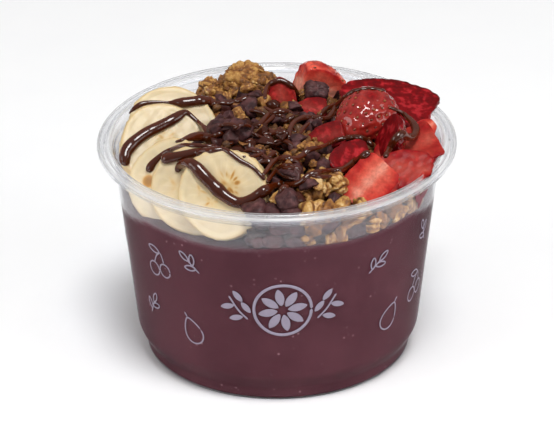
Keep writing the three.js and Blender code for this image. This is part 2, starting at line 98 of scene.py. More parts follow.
# Banana slices: centre of the face, turn and lean in degrees, radius
SLICES = (
    ((-34.2, 11.7, 71.2), 4, 41, 14.7),
    ((-36.3, 0.2, 71.1), 13, 47, 14.6),
    ((-35.0, -20.3, 68.4), -29, 35, 14.0),
    ((-26.2, -32.0, 71.1), -14, 29, 14.5),
    ((-17.3, -40.1, 73.6), -12, 28, 14.4),
)
SLICE_THICKNESS = 6
SLICE_EDGE = 0.9

# Seeds that show on each slice, in its own millimetres: middle of the star, its radius, number
# of seeds and how dark they are. A number of one is a single stained spot.
STARS = (
    (),
    ((0.4, 1.7, 3.6, 9, 0.5),),
    ((-6.7, -1.6, 2.1, 1, 0.75),),
    ((-6.0, 0.2, 2.6, 3, 0.35),),
    ((1.4, 2.6, 4.6, 15, 0.9), (-7.5, 0.5, 1.6, 3, 0.4), (-3.4, -2.6, 2.2, 5, 0.6)),
)

# Strawberry pieces: place, whole length and width, where the cut face looks, where the tip
# points, the part kept (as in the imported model) and how ripe the flesh is. At 1 it is deep red
# all through, at 0 its heart is pale, and below 0 paler still.
Berry = namedtuple("Berry", "place length width face tip keep ripe")
BERRY_ROWS = (
    # The first piece's ripeness of -0.9 makes its cut face paler: partly its pale flesh, partly painted light
    # on a face that lies in shade.
    ((14.0, 39.2, 70.8), 22, 20, (0.2, -0.95, -0.02), (0.95, 0, -0.36),
     ((-0.3, 0.6), (-1, 1), (-0.7, 1)), -0.9),
    ((1.6, 25.4, 75.0), 15, 10.5, (0, -0.9, 0.4), (-0.1, 0.3, 1),
     ((-0.2, 1), (-1, 1), (-0.3, 1)), 0.7),
    ((12.6, 19.0, 74.4), 13, 10, (0.2, -0.5, 0.9), (-1, 0, 0),
     ((-0.1, 1), (-1, 1), (-0.6, 1)), 0.85),
    ((37.4, 20.6, 76.2), 35, 26, (0.08, -0.2, 1), (-0.93, 0.36, 0.12),
     ((-0.02, 0.4), (-0.95, 0.85), (-0.8, 1)), 1.0),
    ((28.6, 6.6, 76.0), 24, 20, (-0.1, 0.3, -1), (-0.6, -0.8, 0.1),
     ((0.05, 1), (-1, 1), (-0.8, 1)), 0.8),
    ((16.6, -4.0, 76.0), 15, 9, (-0.2, -0.8, 0.7), (-1, -0.2, -0.1),
     ((-0.2, 0.8), (-1, 1), (-0.7, 1)), 0.9),
    ((34.4, -10.4, 78.2), 20, 15, (-0.95, -0.25, 0.35), (0.2, -0.3, 1),
     ((0.1, 1), (-0.8, 0.9), (-0.8, 0.9)), 1.0),
    ((24.0, -20.0, 76.0), 17, 12, (0.3, -0.55, 0.8), (-0.9, -0.5, 0),
     ((-0.1, 0.9), (-1, 1), (-0.8, 1)), 1.0),
    ((47.0, 3.4, 73.4), 13, 8, (0.3, -0.7, 0.7), (0.3, 1, -0.3),
     ((-0.1, 0.9), (-1, 1), (-0.9, 0.9)), 0.0),
    ((42.2, -9.6, 74.0), 25, 20, (-0.15, -0.4, 0.9), (-0.9, -0.4, 0.05),
     ((-0.05, 0.4), (-0.8, 0.8), (-0.8, 0.85)), 0.4),
    ((41.0, -24.6, 74.0), 20, 15, (-0.05, -0.6, 0.8), (-1, 0.2, 0),
     ((-0.05, 0.6), (-0.95, 0.9), (-0.85, 1)), 0.45),
    ((28.8, -33.4, 73.8), 20, 17.5, (-0.2, -0.68, 0.7), (-0.75, -0.6, -0.35),
     ((-0.05, 0.55), (-0.85, 0.85), (-0.85, 0.85)), 0.05),
)
BERRIES = [Berry(*row) for row in BERRY_ROWS]
BERRY_TAPER = 0.22
SEED_SPACING = 2.5
DIMPLE = 0.45  # depth of the dimple that a seed sits in

# Foot of the granola heap: angle from +X in degrees, and radius
HEAP_FOOT = (
    (-180, 25), (-150, 29), (-125, 33), (-106, 37), (-100, 54), (-60, 54), (-34, 53), (-15, 43),
    (20, 41), (60, 41), (82, 42), (96, 50), (116, 50), (132, 38), (150, 26), (180, 25),
)
HEAP_BASE = 56.5
HEAP_TOP = 75.2
HEAP_FALL = 7.5  # how much lower its foot is
CORE_DEPTH = 3.4  # how far the heap's core lies below the loose pieces
CORE_RADIUS = 50.2
TOP_RADIUS = 48.5  # how far from the axis a piece on top may lie
CRUMBS = 260  # small crumbs and flakes strewn last

# The pile that loose pieces fall on: a square grid in plan, with its cell and half its width
CELL = 0.5
SPAN = 58
SINK = 0.36  # share of its height by which a piece's middle stands above what it lies on

# Tall granola clusters at the back wall: place and radius of each large lump
CLUSTERS = (
    (-10.4, 44.0, 72.4, 6.6), (-5.4, 41.6, 72.8, 5.6), (-13.2, 42, 71.0, 4.8), (-12.0, 45.0, 74.4, 4.4),
    (-7.8, 44, 74.6, 4.0), (-2.2, 38.8, 72.4, 4.0), (2, 36, 72, 3), (-22.4, 41, 72, 3.6),
    (-20.4, 38.6, 69.0, 3.6),
)

# The camera, fitted to a frame of 554 by 440 pixels
FRAME_WIDTH = 554
FRAME_HEIGHT = 440
AIM = (0, 0, 35)
AIM_PIXEL = (277.63, 243.34)
ELEVATION = 0.4789
ROLL = 0.0075
DISTANCE = 1500
PIXELS_PER_MM = 3.053
SENSOR = 36

# Chocolate chips that lie on top, by the pixel of their middle, with their size in millimetres and
# how bare of sauce they are, from 0 to 1
TOP_CHIPS = (
    (246, 90, 6.6, 0.9), (256, 103, 4.8, 0.8), (219, 108, 4.8, 1.0), (219, 121, 5.2, 1.0),
    (247, 120, 6.2, 1.0), (231, 128, 6.2, 0.9), (218, 138, 6.4, 0.7), (241, 147, 7.2, 0.8),
    (256, 156, 6.0, 0.7), (279, 120, 5.0, 0.6), (282, 134, 4.6, 0.3), (304, 127, 4.4, 1.0),
    (297, 146, 5.0, 0.9), (307, 141, 4.8, 1.0), (308, 162, 6.6, 1.0), (326, 156, 4.8, 1.0),
    (293, 171, 8.0, 0.7), (275, 177, 4.8, 0.8), (308, 187, 5.8, 0.9), (337, 178, 5.4, 0.8),
    (287, 200, 7.8, 0.8), (334, 187, 4.2, 0.9), (255, 112, 4.2, 0.8), (266, 142, 4.6, 0.3),
    (262, 131, 4.6, 0.2), (229, 141, 4.4, 0.5), (250, 165, 4.6, 0.6), (262, 167, 4.4, 0.4),
    (297, 189, 4.6, 0.5), (320, 167, 4.6, 0.8), (241, 105, 4.4, 0.6), (228, 110, 4.6, 0.9),
    (294, 107, 4.2, 1.0), (272, 105, 4.4, 0.3), (324, 182, 4.6, 0.7), (283, 152, 4.8, 0.1),
    (270, 155, 4.6, 0.2), (237, 134, 4.6, 0.8), (316, 132, 4.2, 0.9), (268, 190, 4.8, 0.6),
)

# Granola that lies on top, in the same way: pixel, size and how pale it is. Flakes lie flat.
TOP_CRISPS = (
    (207, 81, 5.6, 1.3), (213, 86, 5.8, 1.2), (209, 90, 4.4, 1.2), (219, 91, 5.0, 1.1),
    (226, 93, 4.2, 1.0), (233, 97, 4.4, 0.9), (248, 102, 4.6, 1.1), (243, 109, 4.6, 1.1),
    (238, 116, 4.2, 1.0), (263, 114, 3.6, 1.0), (262, 125, 3.2, 1.0), (287, 153, 3.6, 0.9),
    (303, 197, 3.8, 1.0), (272, 203, 4.0, 0.9), (302, 204, 4.2, 1.0), (297, 82, 5.0, 1.0),
    (301, 90, 4.6, 0.9), (295, 94, 4.0, 0.8), (319, 196, 9.4, 1.3), (335, 197, 8.0, 1.3),
    (313, 152, 3.2, 0.8), (281, 163, 3.2, 0.8), (330, 170, 3.2, 0.9), (289, 182, 3.2, 0.9),
    (258, 146, 3.2, 0.7),
)
TOP_FLAKES = (
    (316, 193, 7.0, 1.5), (325, 198, 7.0, 1.4), (335, 194, 6.4, 1.5), (326, 188, 5.6, 1.6),
    (342, 200, 6.0, 1.4), (250, 100, 4.6, 1.2), (240, 112, 4.6, 1.2), (216, 80, 4.6, 1.4),
    (300, 86, 4.6, 1.2), (310, 200, 5.0, 1.1), (332, 205, 5.0, 1.0), (263, 120, 3.6, 1.2),
    (300, 196, 4.2, 1.2), (288, 156, 3.6, 1.2), (274, 168, 3.6, 1.1),
)

# Sauce strands: stops along each, as pixel x, pixel y and width in millimetres
STRANDS = (
    ((129, 114, 0.5), (135, 108, 1.3), (142, 104, 1.6), (150, 102.5, 1.2), (160, 102, 0.8),
     (169, 102.5, 0.8), (176, 102.5, 1.9), (183, 103, 3.1), (192, 102, 3.3), (201, 101, 3.3),
     (209, 101.5, 2.9), (216, 105, 1.6)),
    ((128, 166, 2.2), (125, 160, 3.1), (126, 153, 3.5), (131, 145.5, 3.6), (139, 138.5, 3.5),
     (148, 132.5, 3.5), (158, 127.5, 3.3), (168, 122.5, 3.1), (176, 118, 2.9), (182, 114, 2.3),
     (186, 112.5, 1.6), (190, 115, 1.4), (195, 119.5, 1.3), (200, 123.5, 1.2), (204, 127.5, 1.6),
     (207, 132, 1.5), (210, 136, 1.4)),
    ((175, 142, 0.6), (183, 140, 1.3), (191, 138, 2.5), (200, 137, 3.1), (208, 138, 2.8),
     (216, 135, 2.0), (224, 133, 1.3)),
    ((150, 173, 2.2), (150.5, 168, 2.4), (155, 161.5, 2.0), (163, 154.5, 1.6), (172, 149.5, 1.5),
     (182, 146, 1.5), (192, 145.5, 1.4), (203, 146, 1.2), (213, 146.5, 1.2), (221, 148, 1.1)),
    ((152, 168, 2.0), (160, 161.5, 2.6), (168, 158.5, 3.0), (178, 156.5, 2.8), (188, 154.5, 2.7),
     (198, 152.5, 2.5), (208, 151, 2.2), (216, 150, 1.8), (223, 149.5, 1.5), (228, 151.5, 1.5),
     (234, 156, 1.4), (241, 161, 1.3), (248, 164.5, 1.2), (254, 168.5, 1.2), (259, 173.5, 1.2),
     (265, 180, 1.5)),
    ((178.5, 173, 1.8), (178.5, 168, 2.2), (183, 164, 2.8), (190, 163.5, 3.2), (196, 167, 3.5),
     (202, 173.5, 3.6), (209, 181, 3.7), (218, 190, 3.7), (227, 197.5, 3.6), (235, 202, 3.4),
     (243, 203, 3.3), (251, 199.5, 3.3), (259, 194.5, 3.3), (266, 190, 3.0), (272, 186.5, 2.3),
     (278, 184.5, 1.5)),
    ((215, 104, 1.0), (222, 103, 1.3), (229, 103.5, 1.3), (237, 101, 1.5), (244, 99, 1.5),
     (249, 96, 0.9)),
    ((265, 100, 1.0), (265.5, 93, 1.4), (268, 87, 1.7), (273, 82.5, 1.8), (280, 80.5, 1.6),
     (287, 83, 1.7), (293, 88, 1.7), (297, 93.5, 1.4), (300, 98, 1.0)),
    ((258, 127, 1.2), (262, 122, 1.5), (268, 116, 1.6), (274, 113, 2.0), (281, 111.5, 2.0),
     (288, 112, 1.5), (293, 114, 1.0)),
    ((288, 143, 1.2), (289, 134, 1.5), (291, 127, 1.6), (295, 121.5, 1.7), (301, 118.5, 1.7),
     (308, 117.5, 1.6), (316, 118, 1.6), (323, 119, 1.7), (329, 118, 1.9), (333, 113.5, 2.1),
     (336.5, 108, 2.2), (341, 102, 2.0), (346, 97, 1.7), (352, 92.5, 1.5), (359, 90, 1.3),
     (368, 89, 1.2), (377, 89.5, 1.2), (386, 91.5, 1.0), (394, 94.5, 0.8), (400, 96.5, 0.5)),
    ((320, 117, 1.2), (324, 110.5, 1.4), (330, 107, 1.4), (337, 104, 1.3)),
    ((389, 107.5, 0.9), (396, 110, 1.2), (403, 114, 1.5), (409, 119, 1.8), (414, 125, 2.2),
     (416, 131, 2.4), (413.5, 136, 2.4), (408, 137.5, 2.5), (402, 134.5, 2.8), (397, 137.5, 2.4),
     (393, 143, 2.1), (390, 149, 1.9), (387, 154, 1.7), (384.5, 158.5, 1.2)),
    ((262, 176, 1.2), (267, 170, 1.3), (272, 163.5, 1.4), (277, 160, 1.7), (284, 158.5, 2.0),
     (291, 159, 1.8), (297, 158.5, 1.7), (303, 155, 1.7), (308, 150.5, 1.7), (314, 148.5, 1.6),
     (321, 147.5, 1.5), (328, 144, 1.4), (335, 140.5, 1.4), (342, 138.8, 1.4), (349, 138, 1.7),
     (356, 137.5, 2.0), (363, 139, 2.0), (369, 142.5, 1.7), (373.5, 147, 1.2)),
    ((276, 186.5, 1.3), (281, 183.5, 1.7), (287, 184, 1.7), (293, 184.5, 1.7), (298, 183.5, 1.7),
     (303, 180.5, 1.7), (307, 176.5, 1.6), (313, 173.5, 1.6), (320, 172, 1.8), (328, 171.5, 1.7),
     (335, 171, 1.5), (342, 169.5, 1.7), (349, 165.5, 2.0), (356, 161, 2.3), (363, 156.5, 2.3),
     (369, 153, 2.0), (374, 152.5, 1.6), (379, 155.5, 1.2)),
    ((266, 183, 1.2), (271, 176.5, 1.3), (277, 170.5, 1.5), (284, 166, 1.5), (290, 165, 1.3),
     (296, 167, 0.9)),
    ((280, 193, 1.0), (283, 188.5, 1.6), (288, 187, 1.6), (294, 188.5, 1.1)),
    ((243, 152, 0.9), (250, 150.5, 1.3), (257, 152, 1.3), (264, 156.5, 1.2), (270, 161.5, 0.9)),
)
SAUCE_DABS = 32
DABS_ACROSS = (225, 268, 345)  # pixels between which dabs lie, with the likeliest in the middle
DABS_DOWN = (100, 138, 196)
DIVE = 1.9  # how steeply a strand may fall away from the eye
FREE_END = 1.5  # how far a strand's end may stand off the topping under it

# Rows of pieces against the wall: their height and size, and the angles where all are chips
WALL_ROWS = ((60.8, 7.4), (66.0, 7.6), (70.2, 6.0))
WALL_STEP = 6.6
CHIPS_FROM, CHIPS_TO = -106, -80

# The print, in millimetres along the wall from the front and up: a citrus wheel, the stem and
# the leaves of the sprigs beside it, and the places and tilts of the small motifs
WHEEL = (1.5, 36.5)
SPRIG_LIFT = 5.5
SPRIG_STEM = ((11.4, 27.0), (14.6, 30.4), (17.6, 35.4))
SPRIG_LEAVES = ((12.0, 31.6, 0.9), (15.4, 27.4, -0.25), (14.6, 35.6, 0.9), (18.2, 31.4, -0.25))
PLUMS = ((-43, 45), (58, 30), (96, 40), (-118, 34))
PEARS = ((-30.5, 24, 0.4), (42, 25, -0.5), (-78, 42, 0.3), (125, 28, -0.4))
SPRIGS = (
    (-28, 49, 2.4), (33, 47, 0.7), (-50, 26, 1.1), (60, 48, 2.0), (-100, 22, 0.5), (110, 50, 1.9),
)
RED_LEAVES = ((53.5, 63.5, 1.2), (56.5, 64.9, 0.5), (51.1, 65.7, 2.0))

# The stage: the floor in millimetres, and each lamp's place and width in metres and its power
FLOOR_RADIUS = 4000
FLOOR_DEPTH = 5
LAMPS = (
    ("Key", (0.12, -0.45, 1.28), 0.5, 12.0),
    ("Left", (-1.0, -0.5, 0.55), 0.7, 3.5),
    ("Right", (0.95, -0.5, 0.55), 0.7, 3.5),
)
LAMP_AIM = (0, 0, 0.06)


def linear(code):
    """An sRGB hex colour as linear red, green, blue and an alpha of one."""
    parts = [int(code[i : i + 2], 16) / 255 for i in (1, 3, 5)]
    return tuple(c / 12.92 if c <= 0.04045 else ((c + 0.055) / 1.055) ** 2.4 for c in parts) + (1.0,)


def length(name, default, description):
    """A length that the user may change. The default is in millimetres."""
    return bpy.props.FloatProperty(
        name=name, description=description, default=default * MM, min=0, unit="LENGTH", subtype="DISTANCE"
    )


def colour(name, code, description):
    """A colour that the user may change."""
    return bpy.props.FloatVectorProperty(
        name=name, description=description, default=linear(code), size=4, subtype="COLOR", min=0, max=1
    )


def share(name, default, description):
    """A share from 0 to 1 that the user may change."""
    return bpy.props.FloatProperty(
        name=name, description=description, default=default, min=0, max=1, subtype="FACTOR"
    )


def number(name, default, description):
    """A count that the user may change."""
    return bpy.props.IntProperty(name=name, description=description, default=default, min=0)


class TubSettings(bpy.types.PropertyGroup):
    """Sizes and finish of the tub and its print."""

    sheet: length("Sheet", 0.6, "Thickness of the clear sheet")
    haze: share("Haze", 0.05, "How milky the empty part of the wall is")
    plastic: colour("Plastic", "#f6f7f9", "Tint of the clear sheet")
    # The on-edge tint is a painted shade where the sheet is looked along, not a colour of the plastic.
    edge: colour("Plastic, on edge", "#a4a6ab", "Tint of the sheet where it is looked along")
    ink: colour("Ink", "#9b91a4", "Colour of the print on the wall")
    mark: colour("Second ink", "#7e2438", "Colour of the small print at the right")
    line: length("Line width", 0.5, "Width of the printed lines")


class FillingSettings(bpy.types.PropertyGroup):
    """The puree and the granola heap."""

    level: length("Puree level", 58.8, "Height of the puree in the middle")
    dip: length("Side dip", 5.3, "How far the level sinks at the left and right")
    puree: colour("Puree", "#44232a", "Colour of the frozen puree")
    puree_light: colour("Puree, light", "#512d34", "Colour of its lighter patches")
    frost: colour("Frost", "#8c6a72", "Colour of the ice specks")
    granola_count: number("Granola bits", 380, "Loose granola pieces in the heap")
    chip_count: number("Loose chips", 130, "Chocolate chips strewn in the heap")
    toast: colour("Toasted oats", "#925a20", "Colour of the granola")
    toast_light: colour("Pale oats", "#cc9a50", "Colour of its pale flakes")
    # The dark oats colour is painted shade in the crevices of the granola.
    toast_crease_shade: colour("Dark oats", "#3a200e", "Colour in its crevices")
    chip: colour("Chip", "#33191b", "Colour of the chocolate chips")
    bloom: colour("Bloom", "#6c4443", "Colour of the dull film on them")
    sauce: colour("Sauce", "#2b0c03", "Colour of the chocolate sauce")


class FruitSettings(bpy.types.PropertyGroup):
    """The banana slices and the strawberry pieces."""

    flesh: colour("Banana flesh", "#d3c09b", "Colour of a slice between its middle and its rim")
    heart: colour("Banana middle", "#d2bf96", "Colour of the middle of a slice")
    # A slice's side is a darker tan than its face: partly its own colour, partly painted shade that parts one
    # slice from the next.
    side: colour("Banana side", "#d2b684", "Colour of a slice's side")
    pip: colour("Banana seed", "#7a4e1e", "Colour of the tiny seeds")
    skin: colour("Strawberry skin", "#83060f", "Colour of the skin")
    cut: colour("Strawberry flesh", "#bf3a2e", "Colour of a cut face near the skin")
    pith: colour("Strawberry heart", "#dc8d78", "Colour of the pale middle of a cut face")
    seed: colour("Strawberry seed", "#96582c", "Colour of the seeds on the skin")


GROUPS = {"tub": TubSettings, "filling": FillingSettings, "fruit": FruitSettings}


def settings(group):
    """The settings of one group."""
    return getattr(bpy.context.scene, "acai_" + group)


# ---------------------------------------------------------------- surfaces


def around(count):
    """The angles of a full turn in equal steps."""
    return TURN * np.arange(count) / count


def unit(vectors, least=0.0):
    """Vectors divided by their length. `least` is added to it where a length may be nothing."""
    return vectors / (np.linalg.norm(vectors, axis=-1, keepdims=True) + least)


def turned(radius, turn, height):
    """Points at radii, turns round Z and heights."""
    return np.stack(np.broadcast_arrays(radius * np.cos(turn), radius * np.sin(turn), height), -1)


def tilted(flat, tilt):
    """Flat points turned by a tilt."""
    c, s = math.cos(tilt), math.sin(tilt)
    return flat @ np.array([[c, s], [-s, c]])


def ripple(points, size, seed, waves=9):
    """Smooth unevenness from -1 to 1: the mean of sine waves of about `size` millimetres that run
    in random directions with random phases."""
    rng = np.random.default_rng(seed)
    total = np.zeros(len(points))
    for _ in range(waves):
        way = rng.normal(size=points.shape[1])
        way *= rng.uniform(0.7, 1.5) * TURN / size / np.linalg.norm(way)
        total += np.sin(points @ way + rng.uniform(0, TURN))
    return total / math.sqrt(waves)


def ripple_over(coordinates, size, seed):
    """The ripple over a grid that is given as one array for each coordinate."""
    points = np.stack([values.ravel() for values in coordinates], 1)
    return ripple(points, size, seed).reshape(coordinates[0].shape)


def shell_faces(rows, cols):
    """Faces of a closed grid of rows by cols points, wound round, with a pole before and after it."""
    row, col = np.meshgrid(np.arange(rows - 1), np.arange(cols), indexing="ij")
    after = (col + 1) % cols
    here, below = row * cols, (row + 1) * cols
    quads = np.stack([here + col, below + col, below + after, here + after], -1)
    side = np.arange(cols)
    ahead = (side + 1) % cols
    first = np.stack([np.zeros_like(side), 1 + side, 1 + ahead], -1)
    base = 1 + (rows - 1) * cols
    last = np.stack([np.full_like(side, rows * cols + 1), base + ahead, base + side], -1)
    return quads.reshape(-1, 4) + 1, np.vstack([first, last])


def shell(grid, first, last, marks=None):
    """A closed shape from a grid of points (rows, cols, 3) and the two poles. Marks are arrays of
    one number for each grid point; a pole takes the mean of the row beside it."""
    rows, cols, _ = grid.shape
    points = np.vstack([np.reshape(first, (1, 3)), grid.reshape(-1, 3), np.reshape(last, (1, 3))])
    quads, tris = shell_faces(rows, cols)
    kept = {}
    for name, values in (marks or {}).items():
        kept[name] = np.concatenate([[values[0].mean()], values.reshape(-1), [values[-1].mean()]])
    return points, quads, tris, kept


def ball(rows, cols):
    """Unit directions over a sphere as a grid of rows by cols, with the poles left out."""
    polar = (np.pi * np.arange(1, rows + 1) / (rows + 1))[:, None]
    return turned(np.sin(polar), around(cols), np.cos(polar))


def whole_ball(rows, cols):
    """Unit directions over a sphere as one list, with the poles first and last."""
    return np.vstack([[0, 0, 1], ball(rows, cols).reshape(-1, 3), [0, 0, -1]])


def ball_shape(points, rows, cols, **marks):
    """A shape from the points of a whole ball that has been pressed into a form."""
    return points, *shell_faces(rows, cols), marks


def joined(shapes):
    """Several shapes as one, with their marks side by side."""
    points, quads, tris, marks, start = [], [], [], {}, 0
    for shape_points, shape_quads, shape_tris, shape_marks in shapes:
        points.append(shape_points)
        quads.append(shape_quads + start)
        tris.append(shape_tris + start)
        for name, values in shape_marks.items():
            marks.setdefault(name, []).append(values)
        start += len(shape_points)
    return (
        np.vstack(points),
        np.vstack(quads),
        np.vstack(tris),
        {name: np.concatenate(values) for name, values in marks.items()},
    )


def moved(shape, matrix, place, **marks):
    """A copy of a shape, turned by a matrix and moved, with marks that are the same all over."""
    points, quads, tris, own = shape
    extra = {name: np.full(len(points), value, float) for name, value in marks.items()}
    return points @ np.asarray(matrix).T + np.asarray(place), quads, tris, {**own, **extra}


def swept(path, ups, widths, heights, sides=10):
    """A closed strand: an oval section carried along a path, square to it. Its width lies across
    the path and `ups`, and its first and last section are drawn into a point."""
    along = unit(np.gradient(path, axis=0), 1e-9)
    across = unit(np.cross(ups, along), 1e-9)
    up = np.cross(along, across)
    angle = -around(sides)
    offset = (
        across[:, None] * (widths[:, None] / 2 * np.cos(angle))[..., None]
        + up[:, None] * (heights[:, None] / 2 * np.sin(angle))[..., None]
    )
    grid = path[:, None] + offset
    return shell(grid[1:-1], path[0], path[-1])


def any_turn(rng):
    """A random turn as a 3 by 3 matrix, from a random unit quaternion."""
    w, x, y, z = unit(rng.normal(size=4))
    return np.array(
        [
            [1 - 2 * (y * y + z * z), 2 * (x * y - z * w), 2 * (x * z + y * w)],
            [2 * (x * y + z * w), 1 - 2 * (x * x + z * z), 2 * (y * z - x * w)],
            [2 * (x * z - y * w), 2 * (y * z + x * w), 1 - 2 * (x * x + y * y)],
        ]
    )


def leaning(normal, spin):
    """A turn that takes +Z to `normal`, after a spin about +Z."""
    normal = unit(np.asarray(normal, float))
    side = unit(np.cross([0.3, 0.9, 0.1], normal))
    other = np.cross(normal, side)
    base = np.stack([side, other, normal], 1)
    c, s = math.cos(spin), math.sin(spin)
    return base @ np.array([[c, -s, 0], [s, c, 0], [0, 0, 1]])


def spun(normal, rng):
    """A turn that takes +Z to `normal`, after a random spin."""
    return leaning(normal, rng.uniform(0, TURN))


def new_piece(name, shape, material, nodes=()):
    """Puts a shape in millimetres into a mesh object that rides on the bowl. It replaces the
    nodes that are given."""
    points, quads, tris, marks = shape
    mesh = bpy.data.meshes.new(name)
    mesh.vertices.add(len(points))
    mesh.vertices.foreach_set("co", (points * MM).astype(np.float32).ravel())
    corners = np.concatenate([quads.ravel(), tris.ravel()]).astype(np.int32)
    starts = np.concatenate([np.arange(len(quads)) * 4, len(quads) * 4 + np.arange(len(tris)) * 3])
    mesh.loops.add(len(corners))
    mesh.loops.foreach_set("vertex_index", corners)
    mesh.polygons.add(len(starts))
    mesh.polygons.foreach_set("loop_start", starts.astype(np.int32))
    mesh.update(calc_edges=True)
    mesh.validate()
    mesh.shade_smooth()
    for key, values in marks.items():
        attribute = mesh.attributes.new(key, "FLOAT", "POINT")
        attribute.data.foreach_set("value", values.astype(np.float32))
    mesh.materials.append(material)
    piece = bpy.data.objects.new(name, mesh)
    bpy.context.scene.collection.objects.link(piece)
    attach(piece, "root")
    if nodes:
        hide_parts(*nodes)
    return piece


# ---------------------------------------------------------------- forms of the bowl


def rounded(corners, steps=6):
    """A line of corners (radius, height, rounding). Each corner becomes a quadratic curve that
    leaves the two straight lines at the distance `rounding` from it."""
    spots = np.array([corner[:2] for corner in corners], float)
    line = [spots[:1]]
    t = np.linspace(0, 1, steps)[:, None]
    for before, spot, after, corner in zip(spots, spots[1:], spots[2:], corners[1:]):
        back, ahead = before - spot, after - spot
        cut = min(corner[2], 0.48 * np.linalg.norm(back), 0.48 * np.linalg.norm(ahead))
        start, end = spot + unit(back) * cut, spot + unit(ahead) * cut
        line.append((1 - t) ** 2 * start + 2 * t * (1 - t) * spot + t**2 * end)
    line.append(spots[-1:])
    return np.vstack(line)


def refined(line, step):
    """A line with points put in, so that no two are farther apart than a step."""
    parts = [line[:1]]
    for start, end in zip(line, line[1:]):
        count = max(math.ceil(np.linalg.norm(end - start) / step), 1)
        parts.append(start + (end - start) * np.linspace(1 / count, 1, count)[:, None])
    return np.vstack(parts)


def sheet_line(half):
    """The middle of the tub's sheet, from the axis over the foot and up the wall to the rim's lip."""
    heel = FOOT_RADIUS - half
    wall = WALL_TOP - half
    top = TUB_HEIGHT - half
    corners = (
        (0, BASE_RAISE + half, 0),
        (BASE_RADIUS - 2.2, BASE_RAISE + half, 1.2),
        (BASE_RADIUS, half, 0.9),
        (heel, half, 2.4),
        (heel + 0.2, FOOT_HEIGHT - 0.1, 1.6),
        (heel + 1.5, 6.8, 1.3),
        (WALL_FOOT - half, SHOULDER, 2.0),
        (wall - 0.35, RING_HEIGHT - 0.5, 0.3),
        (wall + 0.05, RING_HEIGHT + 0.1, 0.3),
        (wall - 0.02, RING_HEIGHT + 0.9, 0.3),
        (wall + 0.2, TUB_HEIGHT - 1.5, 0.7),
        (WALL_TOP + 1.0, top, 0.6),
        (WALL_TOP + 1.8, top, 0.3),
        (WALL_TOP + 2.3, top - 0.55, 0.4),
        (WALL_TOP + 2.9, top, 0.3),
        (WALL_TOP + 3.9, top, 0.5),
        (RIM_RADIUS - half, TUB_HEIGHT - 1.2, 0.7),
        (RIM_RADIUS - half - 0.35, TUB_HEIGHT - 2.3, 0.5),
        (LIP_RADIUS + half, TUB_HEIGHT - 3.5, 0),
    )
    return refined(rounded(corners), 1.6)


def beside(line, distance):
    """A line moved to its left by a distance."""
    along = unit(np.gradient(line, axis=0))
    out = line + distance * np.stack([-along[:, 1], along[:, 0]], 1)
    out[0, 0] = 0
    return out


@functools.lru_cache
def wall_line(side):
    """Heights and radii of the wall's inner (1) or outer (-1) face."""
    half = settings("tub").sheet / MM / 2
    line = beside(sheet_line(half), side * half)
    rising = line[(line[:, 1] > WALL_START) & (line[:, 0] < WALL_TOP + 0.2)]
    return rising[:, 1], rising[:, 0]


def wall_radius(height, inset=0.0):
    """Radius of the wall's inner face at a height, less an inset."""
    return np.interp(height, *wall_line(1)) - inset


def puree_height(x, y):
    """Height of the puree: the level, which rises a little to the right, less a smooth dip from
    DIP_START to the wall at the left and right, with soft waves."""
    filling = settings("filling")
    share_out = np.clip((np.abs(x) / WALL_TOP - DIP_START) / (1 - DIP_START), 0, 1)
    dip = filling.dip / MM * share_out**2 * (3 - 2 * share_out)
    return filling.level / MM + 0.02 * x - dip + 0.5 * np.sin(x / 9 + 1) * np.cos(y / 8)


def heap_radius(angle):
    """Radius of the heap's foot at an angle from +X in degrees, by straight lines between stops."""
    stops = np.array(HEAP_FOOT, float)
    return np.interp(angle, stops[:, 0], stops[:, 1])


def heap_height(x, y):
    """Height of the heap: a low dome that falls by HEAP_FALL at its foot, with small waves."""
    away = ((x - 2) / 50) ** 2 + ((y + 2) / 54) ** 2
    return HEAP_TOP - HEAP_FALL * away + 0.7 * np.sin(x / 4.3) * np.cos(y / 3.7 + 1)


def inside_room(points):
    """Points pushed into the room in the tub: in towards the axis below the rim, or up onto the
    rim where that is nearer."""
    out = points.copy()
    radius = np.hypot(out[:, 0], out[:, 1]) + 1e-9
    over = radius - wall_radius(out[:, 2], GAP)
    above_rim = TUB_HEIGHT + GAP
    outside = (out[:, 2] < above_rim) & (over > 0)
    lift = outside & (above_rim - out[:, 2] < over)
    out[lift, 2] = above_rim
    push = outside & ~lift
    shrink = (radius - over) / radius
    out[push, :2] *= shrink[push, None]
    return out


def slice_axes(turn, lean):
    """Across, up the slope and the face's normal of a slice, as the columns of a matrix."""
    side, up = math.radians(turn), math.radians(lean)
    normal = np.array([math.sin(side) * math.cos(up), -math.cos(side) * math.cos(up), math.sin(up)])
    slope = unit(np.array([0, 0, 1]) - normal * normal[2])
    return np.stack([np.cross(slope, normal), slope, normal], 1)


def berry_axes(face, tip):
    """Back, aside and along of a strawberry piece, as the columns of a matrix."""
    back = -unit(np.array(face, float))
    along = unit(np.array(tip, float) - back * (back @ np.array(tip, float)))
    return np.stack([back, np.cross(along, back), along], 1)


def berry_depth(points, berry):
    """How far out a point lies in a whole berry: 0 on the axis, 1 on the skin. The half width
    at a place from -1 (calyx) to 1 (tip) is the square root of one less its square, tapered."""
    place = points[..., 2] / (berry.length / 2)
    swell = np.sqrt(np.clip(1 - place**2, 1e-6, 1)) * (1 - BERRY_TAPER * place)
    radius = np.hypot(points[..., 0], points[..., 1]) / (berry.width / 2)
    beyond = np.clip(np.abs(place) - 1, 0, None)
    return radius / np.maximum(swell, 0.02) + 4 * beyond


def blended(first, second, size):
    """The larger of two values, with the crease between them rounded over `size`."""
    return np.maximum(first, second) + np.clip(size - np.abs(first - second), 0, None) ** 2 / (4 * size)


